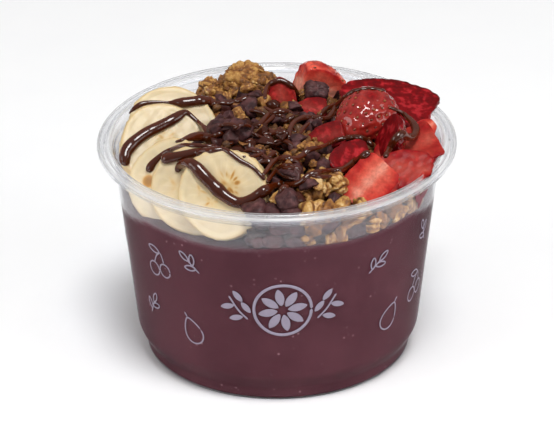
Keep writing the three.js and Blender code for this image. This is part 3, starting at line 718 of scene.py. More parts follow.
def berry_field(points, berry):
    """Negative inside a strawberry piece, in millimetres: the larger of its distance out of the
    whole berry and out of the cuts. Returns the value and how far the cuts lead over the skin."""
    skin = (berry_depth(points, berry) - 1) * berry.width / 2
    halves = (berry.width / 2, berry.width / 2, berry.length / 2)
    cuts = np.full(points.shape[:-1], -99.0)
    for axis, ((low, high), half) in enumerate(zip(berry.keep, halves)):
        cuts = blended(cuts, points[..., axis] - high * half, 0.5)
        cuts = blended(cuts, low * half - points[..., axis], 0.5)
    return blended(skin, cuts, 0.7), cuts - skin


def near_fruit(place, reach):
    """True where a ball at a place cuts into a slice or a strawberry piece."""
    for centre, turn, lean, radius in SLICES:
        x, y, w = (np.asarray(place) - centre) @ slice_axes(turn, lean)
        between_faces = -SLICE_THICKNESS - 0.7 * reach < w < 0.7 * reach
        if math.hypot(x, y) < radius + 0.6 * reach and between_faces:
            return True
    for berry in BERRIES:
        local = (np.asarray(place) - berry.place) @ berry_axes(berry.face, berry.tip)
        if berry_field(local[None], berry)[0][0] < 0.6 * reach:
            return True
    return False


def hides_fruit(place):
    """True where a loose piece would stand in front of a slice or a strawberry piece that rises
    out of the heap."""
    for behind in (3, 5.5, 8):
        spot = np.asarray(place) - behind * view_axes()[2]
        if spot[2] > heap_height(spot[0], spot[1]) + 0.6 and near_fruit(spot, 0):
            return True
    return False


# ---------------------------------------------------------------- materials

# Sockets of a Mix node that mixes colours. Their names are shared with those for numbers.
FACTOR, FIRST, SECOND, MIXED = 0, 6, 7, 2


def add(tree, kind, inputs=None, stops=None, **options):
    """Adds a node, sets its options and its ramp, and fills its inputs: a socket is linked, and
    any other value is set. A colour may be given as its hex code. Returns its outputs."""
    made = tree.nodes.new("ShaderNode" + kind)
    for key, value in options.items():
        setattr(made, key, value)
    if stops:
        elements = made.color_ramp.elements
        while len(elements) < len(stops):
            elements.new(0.5)
        for element, (place, value) in zip(elements, stops):
            element.position = place
            element.color = linear(value) if isinstance(value, str) else value
    for key, value in (inputs or {}).items():
        if isinstance(value, bpy.types.NodeSocket):
            tree.links.new(value, made.inputs[key])
        else:
            made.inputs[key].default_value = linear(value) if isinstance(value, str) else value
    return made.outputs


def new_material(name, surface, *colours):
    """A material. `surface` adds its nodes to the tree and returns the outputs of its shader."""
    material = bpy.data.materials.new(name)
    material.use_nodes = True
    tree = material.node_tree
    tree.nodes.clear()
    add(tree, "OutputMaterial", {"Surface": surface(tree, *colours)[0]})
    return material


def every(size):
    """The scale of a pattern whose features are about `size` millimetres apart. Grain is drawn
    coarser than it is where it would be too fine to show."""
    return 1 / (size * MM)


def grey(value):
    """A grey for a ramp's stop."""
    return (value, value, value, 1)


def clear_pet(tree):
    """PET, thermoformed: a clear sheet, so thin that it hardly bends what is behind it, glossy
    above the puree, and greyer where it is looked along, most on the rim: a painted shade for the
    dark edges of clear plastic. Above the puree it is hazy from handling and cold, and where it
    was stretched, at the ring and on the rim, it is milky. It lets lamp light through, as a thin sheet does."""
    tub = settings("tub")
    where = add(tree, "TexCoord")["Object"]
    marks = ("dry", "rim", "haze")
    dry, rim, handled = (add(tree, "Attribute", attribute_name=mark)["Fac"] for mark in marks)
    scuffs = add(tree, "TexNoise", {"Vector": where, "Scale": every(11.111), "Detail": 3.0})["Fac"]
    uneven = add(tree, "MapRange", {"Value": scuffs, "To Min": 0.6 * tub.haze, "To Max": 1.4 * tub.haze})
    veil = add(tree, "Math", {0: uneven[0], 1: handled}, operation="MULTIPLY")[0]
    gloss = add(tree, "MapRange", {"Value": dry, "To Min": 0.0, "To Max": 0.7})[0]
    # Painted shade: the sheet's tint turns grey where it is looked along, and a little more on the rim.
    along = add(tree, "LayerWeight", {"Blend": 0.5})["Facing"]
    painted_edge_shade = add(tree, "Math", {0: rim, 1: 0.1, 2: along}, operation="MULTIPLY_ADD")[0]
    clear = add(tree, "ValToRGB", {"Fac": painted_edge_shade}, stops=[
        (0.0, tub.plastic), (0.55, tub.plastic), (1.0, tub.edge),
    ])["Color"]
    sheet = add(tree, "BsdfPrincipled", {
        "Base Color": clear, "Roughness": 0.03, "IOR": 1.03, "Transmission Weight": 1.0,
        "Coat Weight": gloss, "Coat Roughness": 0.04,
    })
    milk = add(tree, "Mix", {FACTOR: rim, FIRST: "#d3d4dd", SECOND: "#c9c8c7"}, data_type="RGBA")[MIXED]
    fog = add(tree, "BsdfDiffuse", {"Color": milk})
    hazy = add(tree, "MixShader", {0: veil, 1: sheet[0], 2: fog[0]})
    through = add(tree, "BsdfTransparent", {"Color": "#f4f5f8"})
    lamp = add(tree, "LightPath")["Is Shadow Ray"]
    return add(tree, "MixShader", {0: lamp, 1: hazy[0], 2: through[0]})


def ink(tree, tint):
    """Screen printing ink on plastic: an opaque, even, half matte film."""
    where = add(tree, "TexCoord")["Object"]
    grain = add(tree, "TexNoise", {"Vector": where, "Scale": every(1.4286), "Detail": 2.0})["Fac"]
    tone = add(tree, "Mix", {FACTOR: grain, FIRST: tint, SECOND: [0.8 * c for c in tint]}, data_type="RGBA")
    return add(tree, "BsdfPrincipled", {"Base Color": tone[MIXED], "Roughness": 0.45})


def frozen_puree(tree):
    """Frozen fruit puree: dense and matt, mottled in soft patches, with groups of ice specks of
    about half a millimetre."""
    filling = settings("filling")
    where = add(tree, "TexCoord")["Object"]
    soft = add(tree, "TexNoise", {
        "Vector": where, "Scale": every(22.222), "Detail": 4.0, "Roughness": 0.6,
    })["Fac"]
    patch = add(tree, "MapRange", {"Value": soft, "From Min": 0.35, "From Max": 0.7})[0]
    base = add(
        tree, "Mix", {FACTOR: patch, FIRST: filling.puree, SECOND: filling.puree_light}, data_type="RGBA"
    )[MIXED]
    cells = add(tree, "TexVoronoi", {"Vector": where, "Scale": every(2.381), "Randomness": 1.0})["Distance"]
    rare = add(tree, "TexNoise", {"Vector": where, "Scale": every(6.25), "Detail": 2.0})["Fac"]
    dots = add(tree, "MapRange", {"Value": cells, "From Min": 0.22, "From Max": 0.1})[0]
    some = add(tree, "MapRange", {"Value": rare, "From Min": 0.55, "From Max": 0.68})[0]
    specks = add(tree, "Math", {0: dots, 1: some}, operation="MULTIPLY")[0]
    speckled = add(tree, "Mix", {FACTOR: specks, FIRST: base, SECOND: filling.frost}, data_type="RGBA")[MIXED]
    relief = add(tree, "Bump", {"Height": soft, "Strength": 0.1, "Distance": 0.4 * MM})[0]
    return add(tree, "BsdfPrincipled", {
        "Base Color": speckled, "Roughness": 0.55, "Specular IOR Level": 0.1, "Normal": relief,
    })


def banana_flesh(tree):
    """Ripe banana, sliced: moist, cream coloured flesh, a little deeper in its middle, with fine
    pale rays, a paler line inside the rim, and tiny brown seeds. The marks `ring`, `rays` and
    `pips` say where each shows."""
    fruit = settings("fruit")
    marks = ("ring", "pips", "rays")
    ring, pips, rays = (add(tree, "Attribute", attribute_name=mark)["Fac"] for mark in marks)
    where = add(tree, "TexCoord")["Object"]
    # The ramp ends in the side's darker tan, partly painted shade between the slices.
    across = add(tree, "ValToRGB", {"Fac": ring}, stops=[
        (0.0, fruit.heart), (0.3, fruit.heart), (0.42, fruit.flesh), (0.82, fruit.flesh),
        (0.9, "#d8c6a0"), (1.0, fruit.side),
    ])["Color"]
    fine = add(tree, "TexNoise", {"Vector": where, "Scale": every(1.6667), "Detail": 4.0})["Fac"]
    grain = add(tree, "MapRange", {"Value": fine, "To Min": 0.92, "To Max": 1.06})[0]
    toned = add(tree, "VectorMath", {0: across, "Scale": grain}, operation="SCALE")[0]
    rayed = add(tree, "Mix", {FACTOR: rays, FIRST: toned, SECOND: "#fbf3df"}, data_type="RGBA")[MIXED]
    stain = add(tree, "ValToRGB", {"Fac": pips}, stops=[
        (0.0, "#dcb877"), (0.5, "#b5823a"), (1.0, fruit.pip),
    ])["Color"]
    shown = add(tree, "MapRange", {"Value": pips, "From Max": 0.4})[0]
    seeded = add(tree, "Mix", {FACTOR: shown, FIRST: rayed, SECOND: stain}, data_type="RGBA")[MIXED]
    relief = add(tree, "Bump", {"Height": fine, "Strength": 0.3, "Distance": 0.15 * MM})[0]
    return add(tree, "BsdfPrincipled", {
        "Base Color": seeded, "Roughness": 0.42, "Subsurface Weight": 0.25,
        "Subsurface Radius": (1.0, 0.7, 0.35), "Subsurface Scale": 1.2 * MM, "Normal": relief,
    })


def strawberry(tree):
    """Strawberry, cut: a glossy deep red skin, blotched and finely mottled, and a moist cut face
    that runs from red at the skin through salmon to a pale heart. A ripe one is deep red all
    through with paler pulp, and an unripe one has a paler skin. The marks `cut`, `pale` and
    `ripe` say where each shows."""
    fruit = settings("fruit")
    marks = ("cut", "pale", "ripe")
    cut, pale, ripe = (add(tree, "Attribute", attribute_name=mark)["Fac"] for mark in marks)
    where = add(tree, "TexCoord")["Object"]
    flesh = add(tree, "ValToRGB", {"Fac": pale}, stops=[
        (0.0, "#9c1016"), (0.25, fruit.cut), (0.65, "#cf5d4b"), (1.0, fruit.pith),
    ])["Color"]
    pulp = add(tree, "TexNoise", {"Vector": where, "Scale": every(2.381), "Detail": 4.0})["Fac"]
    speckle = add(tree, "MapRange", {"Value": pulp, "From Min": 0.48, "From Max": 0.72})[0]
    juicy = add(tree, "Math", {0: pale, 1: 0.5, 2: speckle}, operation="MULTIPLY_ADD")[0]
    deep = add(tree, "ValToRGB", {"Fac": juicy}, stops=[
        (0.0, "#5c0307"), (0.5, "#7c050c"), (1.0, "#aa2228"),
    ])["Color"]
    face = add(tree, "Mix", {FACTOR: ripe, FIRST: flesh, SECOND: deep}, data_type="RGBA")[MIXED]
    blotch = add(tree, "TexNoise", {"Vector": where, "Scale": every(3.8462), "Detail": 2.0})["Fac"]
    ripened = add(tree, "Mix", {FACTOR: ripe, FIRST: "#dc5640", SECOND: fruit.skin}, data_type="RGBA")[MIXED]
    spread = add(tree, "MapRange", {"Value": blotch, "From Min": 0.2, "From Max": 0.5})[0]
    skin = add(tree, "Mix", {FACTOR: spread, FIRST: "#7d0611", SECOND: ripened}, data_type="RGBA")[MIXED]
    plain = add(tree, "Mix", {FACTOR: cut, FIRST: skin, SECOND: face}, data_type="RGBA")[MIXED]
    fine = add(tree, "TexNoise", {"Vector": where, "Scale": every(1.1111), "Detail": 3.0})["Fac"]
    mottle = add(tree, "MapRange", {
        "Value": fine, "From Min": 0.3, "From Max": 0.7, "To Min": 0.8, "To Max": 1.15,
    })
    tint = add(tree, "VectorMath", {0: plain, "Scale": mottle[0]}, operation="SCALE")[0]
    relief = add(tree, "Bump", {"Height": fine, "Strength": 0.45, "Distance": 0.2 * MM})[0]
    wet = add(tree, "MapRange", {"Value": cut, "To Min": 0.2, "To Max": 0.55})[0]
    juice = add(tree, "MapRange", {"Value": cut, "To Min": 0.9, "To Max": 0.05})[0]
    return add(tree, "BsdfPrincipled", {
        "Base Color": tint, "Roughness": wet, "Subsurface Weight": 0.15,
        "Subsurface Radius": (1.0, 0.2, 0.15), "Subsurface Scale": 1.0 * MM, "Specular IOR Level": 0.1,
        "Coat Weight": juice, "Coat Roughness": 0.1, "Normal": relief,
    })


def berry_seed(tree):
    """Strawberry seeds: small hard nutlets, tan to dark red, half glossy."""
    fruit = settings("fruit")
    shade = add(tree, "Attribute", attribute_name="shade")["Fac"]
    tint = add(tree, "Mix", {FACTOR: shade, FIRST: fruit.seed, SECOND: "#5c1010"}, data_type="RGBA")[MIXED]
    return add(tree, "BsdfPrincipled", {"Base Color": tint, "Roughness": 0.3})


def chocolate_sauce(tree):
    """Chocolate sauce, poured: almost black brown, thick and glossy as syrup, with a painted red
    brown sheen in patches where a strand is seen along its edge."""
    filling = settings("filling")
    where = add(tree, "TexCoord")["Object"]
    thin = add(tree, "TexNoise", {"Vector": where, "Scale": every(4.5455), "Detail": 2.0})["Fac"]
    # Painted sheen: red brown where a strand is seen at a grazing angle, in noisy patches, over a little red
    # brown all over.
    edge = add(tree, "LayerWeight", {"Blend": 0.35})["Facing"]
    painted_edge_sheen = add(tree, "Math", {0: thin, 1: edge, 2: 0.12}, operation="MULTIPLY_ADD")[0]
    tint = add(
        tree, "Mix", {FACTOR: painted_edge_sheen, FIRST: filling.sauce, SECOND: "#7a300e"}, data_type="RGBA"
    )[MIXED]
    grain = add(tree, "TexNoise", {"Vector": where, "Scale": every(1.4286), "Detail": 3.0})["Fac"]
    relief = add(tree, "Bump", {"Height": grain, "Strength": 0.3, "Distance": 0.15 * MM})[0]
    return add(tree, "BsdfPrincipled", {
        "Base Color": tint, "Roughness": 0.12, "Specular IOR Level": 0.55, "Normal": relief,
    })


def chocolate_chip(tree):
    """Dark chocolate, dropped: dense and smooth with a dull bloom in patches. Where the mark
    `shade` is low, sauce has run over the piece, and it is glossy and browner."""
    filling = settings("filling")
    shade = add(tree, "Attribute", attribute_name="shade")["Fac"]
    where = add(tree, "TexCoord")["Object"]
    dust = add(tree, "TexNoise", {
        "Vector": where, "Scale": every(2.6316), "Detail": 4.0, "Roughness": 0.65,
    })["Fac"]
    film = add(tree, "MapRange", {"Value": dust, "From Min": 0.4, "From Max": 0.75})[0]
    bloomed = add(tree, "Mix", {
        FACTOR: film, FIRST: filling.chip, SECOND: filling.bloom,
    }, data_type="RGBA")[MIXED]
    bare = add(tree, "MapRange", {"Value": shade, "From Min": 0.25, "From Max": 0.6})[0]
    tint = add(tree, "Mix", {FACTOR: bare, FIRST: "#3c180c", SECOND: bloomed}, data_type="RGBA")[MIXED]
    rough = add(tree, "MapRange", {"Value": bare, "To Min": 0.15, "To Max": 0.5})[0]
    relief = add(tree, "Bump", {"Height": dust, "Strength": 0.4, "Distance": 0.3 * MM})[0]
    return add(tree, "BsdfPrincipled", {
        "Base Color": tint, "Roughness": rough, "Specular IOR Level": 0.25, "Normal": relief,
    })


def toasted_granola(tree):
    """Granola, baked with honey: rough toasted oats with a thin sticky gloss. Its mark paints shade
    on crumbs and clusters, golden on their knobs and dark in the crevices between them, and gives
    flakes an uneven tone; `shade` makes each piece a little lighter or darker."""
    filling = settings("filling")
    marks = ("shade", "knob")
    shade, knob = (add(tree, "Attribute", attribute_name=mark)["Fac"] for mark in marks)
    where = add(tree, "TexCoord")["Object"]
    crumb = add(tree, "TexNoise", {
        "Vector": where, "Scale": every(1.5385), "Detail": 5.0, "Roughness": 0.8,
    })["Fac"]
    sharp = add(tree, "MapRange", {"Value": crumb, "From Min": 0.33, "From Max": 0.67})[0]
    lift = add(tree, "Math", {0: knob, 1: 0.6, 2: -0.04}, operation="MULTIPLY_ADD")[0]
    mixed = add(tree, "Math", {0: sharp, 1: 0.38, 2: lift}, operation="MULTIPLY_ADD")[0]
    toned = add(tree, "Math", {0: mixed, 1: shade}, operation="MULTIPLY")[0]
    # The ramp runs from painted shade in the crevices up to golden knobs and pale flakes.
    tint = add(tree, "ValToRGB", {"Fac": toned}, stops=[
        (0.05, filling.toast_crease_shade), (0.3, "#72461c"), (0.55, filling.toast),
        (0.85, filling.toast_light), (1.0, "#dfbd85"),
    ])["Color"]
    relief = add(tree, "Bump", {"Height": crumb, "Strength": 1.0, "Distance": 0.6 * MM})[0]
    return add(tree, "BsdfPrincipled", {
        "Base Color": tint, "Roughness": 0.6, "Coat Weight": 0.15, "Coat Roughness": 0.25,
        "Normal": relief,
    })


def heap_core_gap_shade(tree):
    """The middle of the heap, seen in the gaps between loose pieces: moist crumbs and chocolate, painted dark
    as the shade in those gaps.
    """
    where = add(tree, "TexCoord")["Object"]
    crumb = add(tree, "TexNoise", {
        "Vector": where, "Scale": every(3.3333), "Detail": 5.0, "Roughness": 0.7,
    })["Fac"]
    # Painted shade: dark browns for the gaps between the loose pieces.
    tint = add(tree, "ValToRGB", {"Fac": crumb}, stops=[
        (0.35, "#1d0f0b"), (0.55, "#3a2012"), (0.75, "#7a4c20"),
    ])["Color"]
    relief = add(tree, "Bump", {"Height": crumb, "Strength": 1.0, "Distance": 0.8 * MM})[0]
    return add(tree, "BsdfPrincipled", {"Base Color": tint, "Roughness": 0.4, "Normal": relief})


def studio_paper(tree):
    """Matt white background paper under the bowl."""
    where = add(tree, "TexCoord")["Object"]
    fibre = add(tree, "TexNoise", {"Vector": where, "Scale": every(25), "Detail": 2.0})["Fac"]
    tint = add(tree, "Mix", {FACTOR: fibre, FIRST: "#fafafb", SECOND: "#fefefe"}, data_type="RGBA")[MIXED]
    return add(tree, "BsdfPrincipled", {"Base Color": tint, "Roughness": 0.85, "Specular IOR Level": 0.1})


# ---------------------------------------------------------------- pieces


def tub_shape():
    """The tub: the inner and the outer line of the sheet as one closed profile, turned round Z.
    The mark `dry` is one above the puree, `rim` is one on the rim's flat top, and `haze` is one
    on the dry wall, about RIM_HAZE on the flat top and nothing on the lip. It is higher on the
    ring and on both creases of the flat top, where the stretched sheet has turned white."""
    half = settings("tub").sheet / MM / 2
    line = sheet_line(half)
    profile = np.vstack([beside(line, half), beside(line, -half)[::-1]])
    grid = turned(profile[1:-1, :1], around(192), profile[1:-1, 1:])
    height, spread = grid[..., 2], np.hypot(grid[..., 0], grid[..., 1])
    dry = np.clip((height - puree_height(grid[..., 0], grid[..., 1])) / 1.2, 0, 1)
    rim = np.clip((spread - WALL_TOP - 0.1) / 0.5, 0, 1) * np.clip((height - TUB_HEIGHT + 1.5) / 0.5, 0, 1)
    ring, inner, outer = (
        np.exp(-((away / 0.4) ** 2))
        for away in (height - RING_HEIGHT, spread - WALL_TOP - 0.9, spread - RIM_RADIUS + 0.7)
    )
    wall_haze = dry * (spread < WALL_TOP + 0.3) * (1 + 4 * ring)
    haze = wall_haze + RIM_HAZE * rim * (0.8 + 1.6 * (inner + outer))
    ends = ((0, 0, profile[0, 1]), (0, 0, profile[-1, 1]))
    return shell(grid, *ends, {"dry": dry, "rim": rim, "haze": haze})


def puree_shape():
    """The puree: its top follows puree_height out to the wall, its side follows the wall's inner
    face and reaches just into it, and its underside follows the base."""
    turn = around(180)
    level = puree_height(PUREE_RADIUS * np.cos(turn), PUREE_RADIUS * np.sin(turn))
    rim = wall_radius(level, -PUREE_BITE)
    out = np.linspace(0, 1, 34)[1:, None]
    top_radius = out * rim
    x, y = top_radius * np.cos(turn), top_radius * np.sin(turn)
    rough = ripple_over((x, y), 5.5, 4)
    top_height = puree_height(x, y) + 0.35 * rough * (1 - out**6) + 0.5 * out**30
    low = SHOULDER + 1
    down = np.linspace(0, 1, 26)[1:, None]
    side_height = level + 0.5 + (low - level - 0.5) * down
    side_radius = wall_radius(side_height, -PUREE_BITE)
    base = beside(sheet_line(0.3), 0.3 - PUREE_BITE)
    base = base[(base[:, 1] < low) & (base[:, 0] > 1)][::-1]
    base_radius = base[:, :1] + 0 * turn
    base_height = base[:, 1:] + 0 * turn
    radius = np.vstack([top_radius, side_radius, base_radius])
    height = np.vstack([top_height, side_height, base_height])
    return shell(turned(radius, turn, height), (0, 0, puree_height(0, 0)), (0, 0, base[-1, 1]))


def pip_marks(x, y, stars, rng):
    """Darkness of the seeds at places on a slice: short dashes that point to the middle of each
    star, each a narrow bell across and a wide one along, over a faint stain."""
    dark = np.zeros_like(x)
    for star_x, star_y, star_radius, count, strength in stars:
        away = np.hypot(x - star_x, y - star_y)
        if count == 1:
            dark = np.maximum(dark, strength * np.exp(-((away / star_radius) ** 4)))
            continue
        smear = 0.75 + 0.35 * ripple_over((x, y), 2.6, count)
        dark = np.maximum(dark, 0.32 * strength * smear * np.exp(-((away / star_radius) ** 2)))
        for index in range(count):
            angle = TURN * (index + rng.uniform(-0.35, 0.35)) / count
            out = star_radius * rng.uniform(0.3, 0.9)
            c, s = math.cos(angle), math.sin(angle)
            dx, dy = x - star_x - out * c, y - star_y - out * s
            along, across = dx * c + dy * s, -dx * s + dy * c
            dash = np.exp(-((along / rng.uniform(0.9, 1.8)) ** 2) - (across / rng.uniform(0.35, 0.75)) ** 2)
            dark = np.maximum(dark, strength * rng.uniform(0.3, 0.9) * dash)
    return dark


def slice_shape(index):
    """A banana slice: a disc with rounded edges. Its outline swells in three places and in five,
    the face is slightly uneven, and a shallow groove runs inside the rim."""
    centre, turn, lean, radius = SLICES[index]
    rng = np.random.default_rng(50 + index)
    edge, thick = SLICE_EDGE, SLICE_THICKNESS
    flat = np.linspace(0, radius - edge, 58)[1:]
    bend = np.linspace(0, np.pi / 2, 6)[1:]
    out = np.concatenate(
        [
            flat,
            radius - edge + edge * np.sin(bend),
            np.full(5, radius),
            radius - edge + edge * np.cos(bend),
            np.linspace(radius - edge, 0, 7)[1:-1],
        ]
    )
    depth = np.concatenate(
        [
            0 * flat,
            -edge + edge * np.cos(bend),
            np.linspace(-edge, edge - thick, 7)[1:-1],
            edge - thick - edge * np.sin(bend),
            np.full(5, -thick),
        ]
    )
    angle = around(200)
    swell = 1 + 0.018 * np.cos(3 * angle + index) + 0.012 * np.cos(5 * angle + 2 * index)
    x = out[:, None] * swell * np.cos(angle)
    y = out[:, None] * swell * np.sin(angle)
    share_out = out[:, None] / radius + 0 * angle
    front = (depth > -0.5)[:, None]
    dents = 0.10 * ripple_over((x, y), 4.5, 70 + index)
    groove = -0.06 * np.exp(-(((share_out - 0.84) / 0.03) ** 2))
    w = depth[:, None] + front * (dents + groove)
    push = 1 + 0.15 * ripple_over((x, y, w), 3, 90 + index) * (~front) / radius
    ring = np.where(front, share_out, 1.0)
    fans = np.clip(np.sin(angle * 23 + 2 * np.sin(angle * 5 + index)), 0, 1) ** 3
    between = np.clip((share_out - 0.38) / 0.2, 0, 1) * np.clip((0.8 - share_out) / 0.1, 0, 1)
    marks = {
        "ring": ring,
        "pips": pip_marks(x, y, STARS[index], rng) * front,
        "rays": 0.1 * fans * between * front,
    }
    axes = slice_axes(turn, lean)
    grid = np.stack([x * push, y * push, w], -1) @ axes.T + np.array(centre)
    grid = inside_room(grid.reshape(-1, 3)).reshape(grid.shape)
    return shell(grid, np.array(centre), np.array(centre) - thick * axes[:, 2], marks)


def skin_dimples(local, berry):
    """Depth of the seed dimples at points on the skin, and where the seeds sit. Seeds stand on
    rings round the berry, every other ring shifted by half a step."""
    seeds = []
    rings = int(berry.length / SEED_SPACING)
    for ring in range(1, rings):
        place = -1 + 2 * ring / rings
        radius = math.sqrt(1 - place**2) * (1 - BERRY_TAPER * place) * berry.width / 2
        count = max(int(TURN * radius / (SEED_SPACING * 1.1)), 3)
        turn = TURN * (np.arange(count) + 0.5 * (ring % 2)) / count
        seeds.append(turned(radius, turn, place * berry.length / 2))
    seeds = np.vstack(seeds)
    gap = np.min(((local[:, None] - seeds[None]) ** 2).sum(-1), axis=1)
    return np.exp(-gap / 0.75), seeds


def berry_shape(index):
    """A strawberry piece: from a point inside, each direction is followed in steps, and then by
    halves, until it leaves the berry or crosses a cut. The skin has a dimple for each seed. The
    mark `cut` is one on a cut face, `pale` rises to the heart in rays, and `ripe` is the same all
    over. Returns the piece and its seeds."""
    berry = BERRIES[index]
    axes = berry_axes(berry.face, berry.tip)
    halves = np.array([berry.width / 2, berry.width / 2, berry.length / 2])
    spans = np.array(berry.keep, float)
    inner = spans.mean(1) * halves
    inner[2] -= 0.06 * berry.length
    inner[0] = (max(spans[0, 0], -0.9) + min(spans[0, 1], 0.9)) / 2 * halves[0]
    ways = unit(ball(84, 120) * np.array([0.6, 1.0, 1.0]))
    steps = np.linspace(0, berry.length, 90)
    low = np.zeros(ways.shape[:2])
    found = np.zeros(ways.shape[:2], bool)
    for step in steps[1:]:
        value, _ = berry_field(inner + ways * step, berry)
        still = (value < 0) & ~found
        low[still] = step
        found |= value >= 0
    high = low + steps[1]
    for _ in range(9):
        middle = (low + high) / 2
        value, _ = berry_field(inner + ways * middle[..., None], berry)
        low = np.where(value < 0, middle, low)
        high = np.where(value < 0, high, middle)
    local = inner + ways * low[..., None]
    flat = local.reshape(-1, 3)
    _, lead = berry_field(flat, berry)
    cut = np.clip(lead / 0.5 + 0.5, 0, 1)
    dimple, seeds = skin_dimples(flat, berry)
    sink = DIMPLE * dimple * (1 - cut)
    radial = unit(flat * np.array([1, 1, 0]), 1e-6)
    uneven = 0.14 * ripple(flat, 3.5, 200 + index)
    shaped = flat - radial * sink[:, None] + (flat - inner) / 10 * uneven[:, None]
    depth = np.clip(berry_depth(flat, berry), 0, 1)
    turn = np.arctan2(flat[:, 1], flat[:, 2] + 0.12 * berry.length)
    streak = 0.5 + 0.5 * np.sin(turn * 34 + 1.5 * ripple(flat, 4, 300 + index))
    core = np.exp(-((depth / 0.36) ** 2))
    pale = np.clip(0.5 * core + 0.6 * (1 - depth) ** 0.8 * (0.85 + 0.15 * streak), 0, 1)
    pale *= np.clip((1 - depth) / 0.12, 0, 1) * (1 - 1.2 * berry.ripe if berry.ripe < 0.6 else 0.9)
    pale = np.clip(pale + 0.12 * ripple(flat, 5, 400 + index), 0, 1)
    grid = inside_room(shaped @ axes.T + np.array(berry.place)).reshape(local.shape)
    marks = {
        "cut": cut.reshape(grid.shape[:2]),
        "pale": pale.reshape(grid.shape[:2]),
        "ripe": np.full(grid.shape[:2], berry.ripe),
    }
    body = shell(grid, grid[0].mean(0), grid[-1].mean(0), marks)
    value, lead = berry_field(seeds, berry)
    return body, seed_shapes(seeds[(lead < -0.5) & (value < 0.4)], axes, berry)


def seed_shapes(places, axes, berry):
    """Small oval seeds, half sunk at places on the skin and pointing along the berry."""
    points = whole_ball(3, 6)
    rng = np.random.default_rng(9)
    shapes = []
    for place in places:
        out = unit(place / np.array([berry.width**2, berry.width**2, berry.length**2 / 0.6]))
        along = unit(np.array([0, 0, 1.0]) - out * out[2], 1e-6)
        base = np.stack([np.cross(along, out), along, out], 1)
        body = points * np.array([0.36, 0.62, 0.26]) * rng.uniform(0.85, 1.1)
        local = body @ base.T + place - 0.22 * out
        world = inside_room(local @ axes.T + np.array(berry.place))
        shapes.append(ball_shape(world, 3, 6, shade=np.full(len(points), rng.uniform(0, 1))))
    return joined(shapes) if shapes else None


def chip_shape(rng, rows=6, cols=10):
    """A chocolate chip of size one: each direction is followed to the nearest of several planes, a
    flat base, a blunt tip, sides that lean in and two random breaks. A power mean of order 40
    over the planes rounds the edges between them."""
    ways = whole_ball(rows, cols)
    count = rng.integers(5, 8)
    turn = TURN * (np.arange(count) + rng.uniform(-0.3, 0.3, count)) / count
    sides = turned(1, turn, rng.uniform(0.1, 0.9, count))
    tip = rng.normal(size=3) * 0.25 + [0, 0, 1]
    planes = unit(np.vstack([[0, 0, -1], tip, sides, rng.normal(size=(2, 3))]))
    far = [0.27, rng.uniform(0.34, 0.48), *rng.uniform(0.34, 0.46, count), *rng.uniform(0.38, 0.5, 2)]
    radius = 1 / ((np.clip(ways @ planes.T, 0, None) / far) ** 40).sum(1) ** (1 / 40)
    points = ways * radius[:, None]
    knock = 1 + 0.025 * ripple(points, 0.4, rng.integers(1e6))
    return ball_shape(points * knock[:, None] * 1.12, rows, cols)


def crisp_shape(rng, rows=5, cols=9):
    """A granola crumb of size one: a ball with a wide ripple, and knobs from the size of a finer
    one, so that creases run between them."""
    ways = whole_ball(rows, cols)
    large = ripple(ways, 1.5, rng.integers(1e6))
    knobs = np.abs(ripple(ways, 1.1, rng.integers(1e6)))
    stretch = np.array([1, rng.uniform(0.7, 1), rng.uniform(0.55, 0.9)])
    radius = 0.86 + 0.16 * large + 0.24 * knobs
    # The mark is low in the creases between the knobs, where the colour is darkened as painted shade.
    return ball_shape(ways * radius[:, None] * stretch * 0.5, rows, cols, knob=np.clip(0.15 + knobs, 0, 1))


def lump_shape(rng, rows=44, cols=64):
    """A large granola cluster of size one: a ball with a wide ripple and with knobs of two sizes,
    each from the size of a ripple, so that sharp creases run between them."""
    ways = whole_ball(rows, cols)
    large = ripple(ways, 2.0, rng.integers(1e6))
    knobs = np.abs(ripple(ways, 1.15, rng.integers(1e6), 14))
    crumbs = np.abs(ripple(ways, 0.42, rng.integers(1e6), 14))
    radius = 0.76 + 0.1 * large + 0.3 * np.minimum(knobs, 0.9) + 0.09 * np.minimum(crumbs, 1.0)
    # The mark is painted shade: low, and so dark, in the creases between knobs and crumbs.
    mark = np.clip(0.9 * knobs + 0.4 * crumbs, 0, 1)
    return ball_shape(ways * radius[:, None] * 0.5, rows, cols, knob=mark)


def flake_shape(rng, rows=4, cols=11):
    """A rolled oat of size one: a thin oval that is bent along its length, with a wavy edge."""
    points = whole_ball(rows, cols) * np.array([0.5, rng.uniform(0.3, 0.42), 0.1])
    points *= (1 + 0.12 * ripple(points, 0.6, rng.integers(1e6)))[:, None]
    bend = rng.uniform(0.3, 1.0)
    points[:, 2] += bend * points[:, 0] ** 2 + 0.04 * ripple(points, 0.45, rng.integers(1e6))
    mark = np.clip(0.6 + 0.35 * ripple(points, 0.4, rng.integers(1e6)), 0, 1)
    return ball_shape(points, rows, cols, knob=mark)


def chunk_shape():
    """The large chunk: a block with rounded, knocked corners, as a ball pressed towards a cube by
    a power mean of order five."""
    ways = whole_ball(26, 40)
    cube = ways / (np.abs(ways) ** 5).sum(1, keepdims=True) ** 0.2
    dents = 0.05 * ripple(cube, 1.6, 77) + 0.05 * ripple(cube, 0.5, 78)
    cube *= (1 + dents - 0.03 * np.abs(ripple(cube, 0.3, 79)))[:, None]
    block = ball_shape(cube * np.array([3.9, 3.3, 3.6]), 26, 40)
    return moved(block, leaning((0.2, -0.5, 1), 0.4), (13, 29, 75.4), shade=1.0)


def empty_pile():
    """Heights of what the loose pieces fall on, on a square grid in plan: the heap's core, and
    the puree round it."""
    side = np.arange(-SPAN, SPAN + CELL, CELL)
    x, y = np.meshgrid(side, side, indexing="ij")
    angle = np.degrees(np.arctan2(y, x))
    on_heap = np.hypot(x, y) < heap_radius(angle) - 1
    return np.where(on_heap, heap_height(x, y) - CORE_DEPTH, puree_height(x, y))


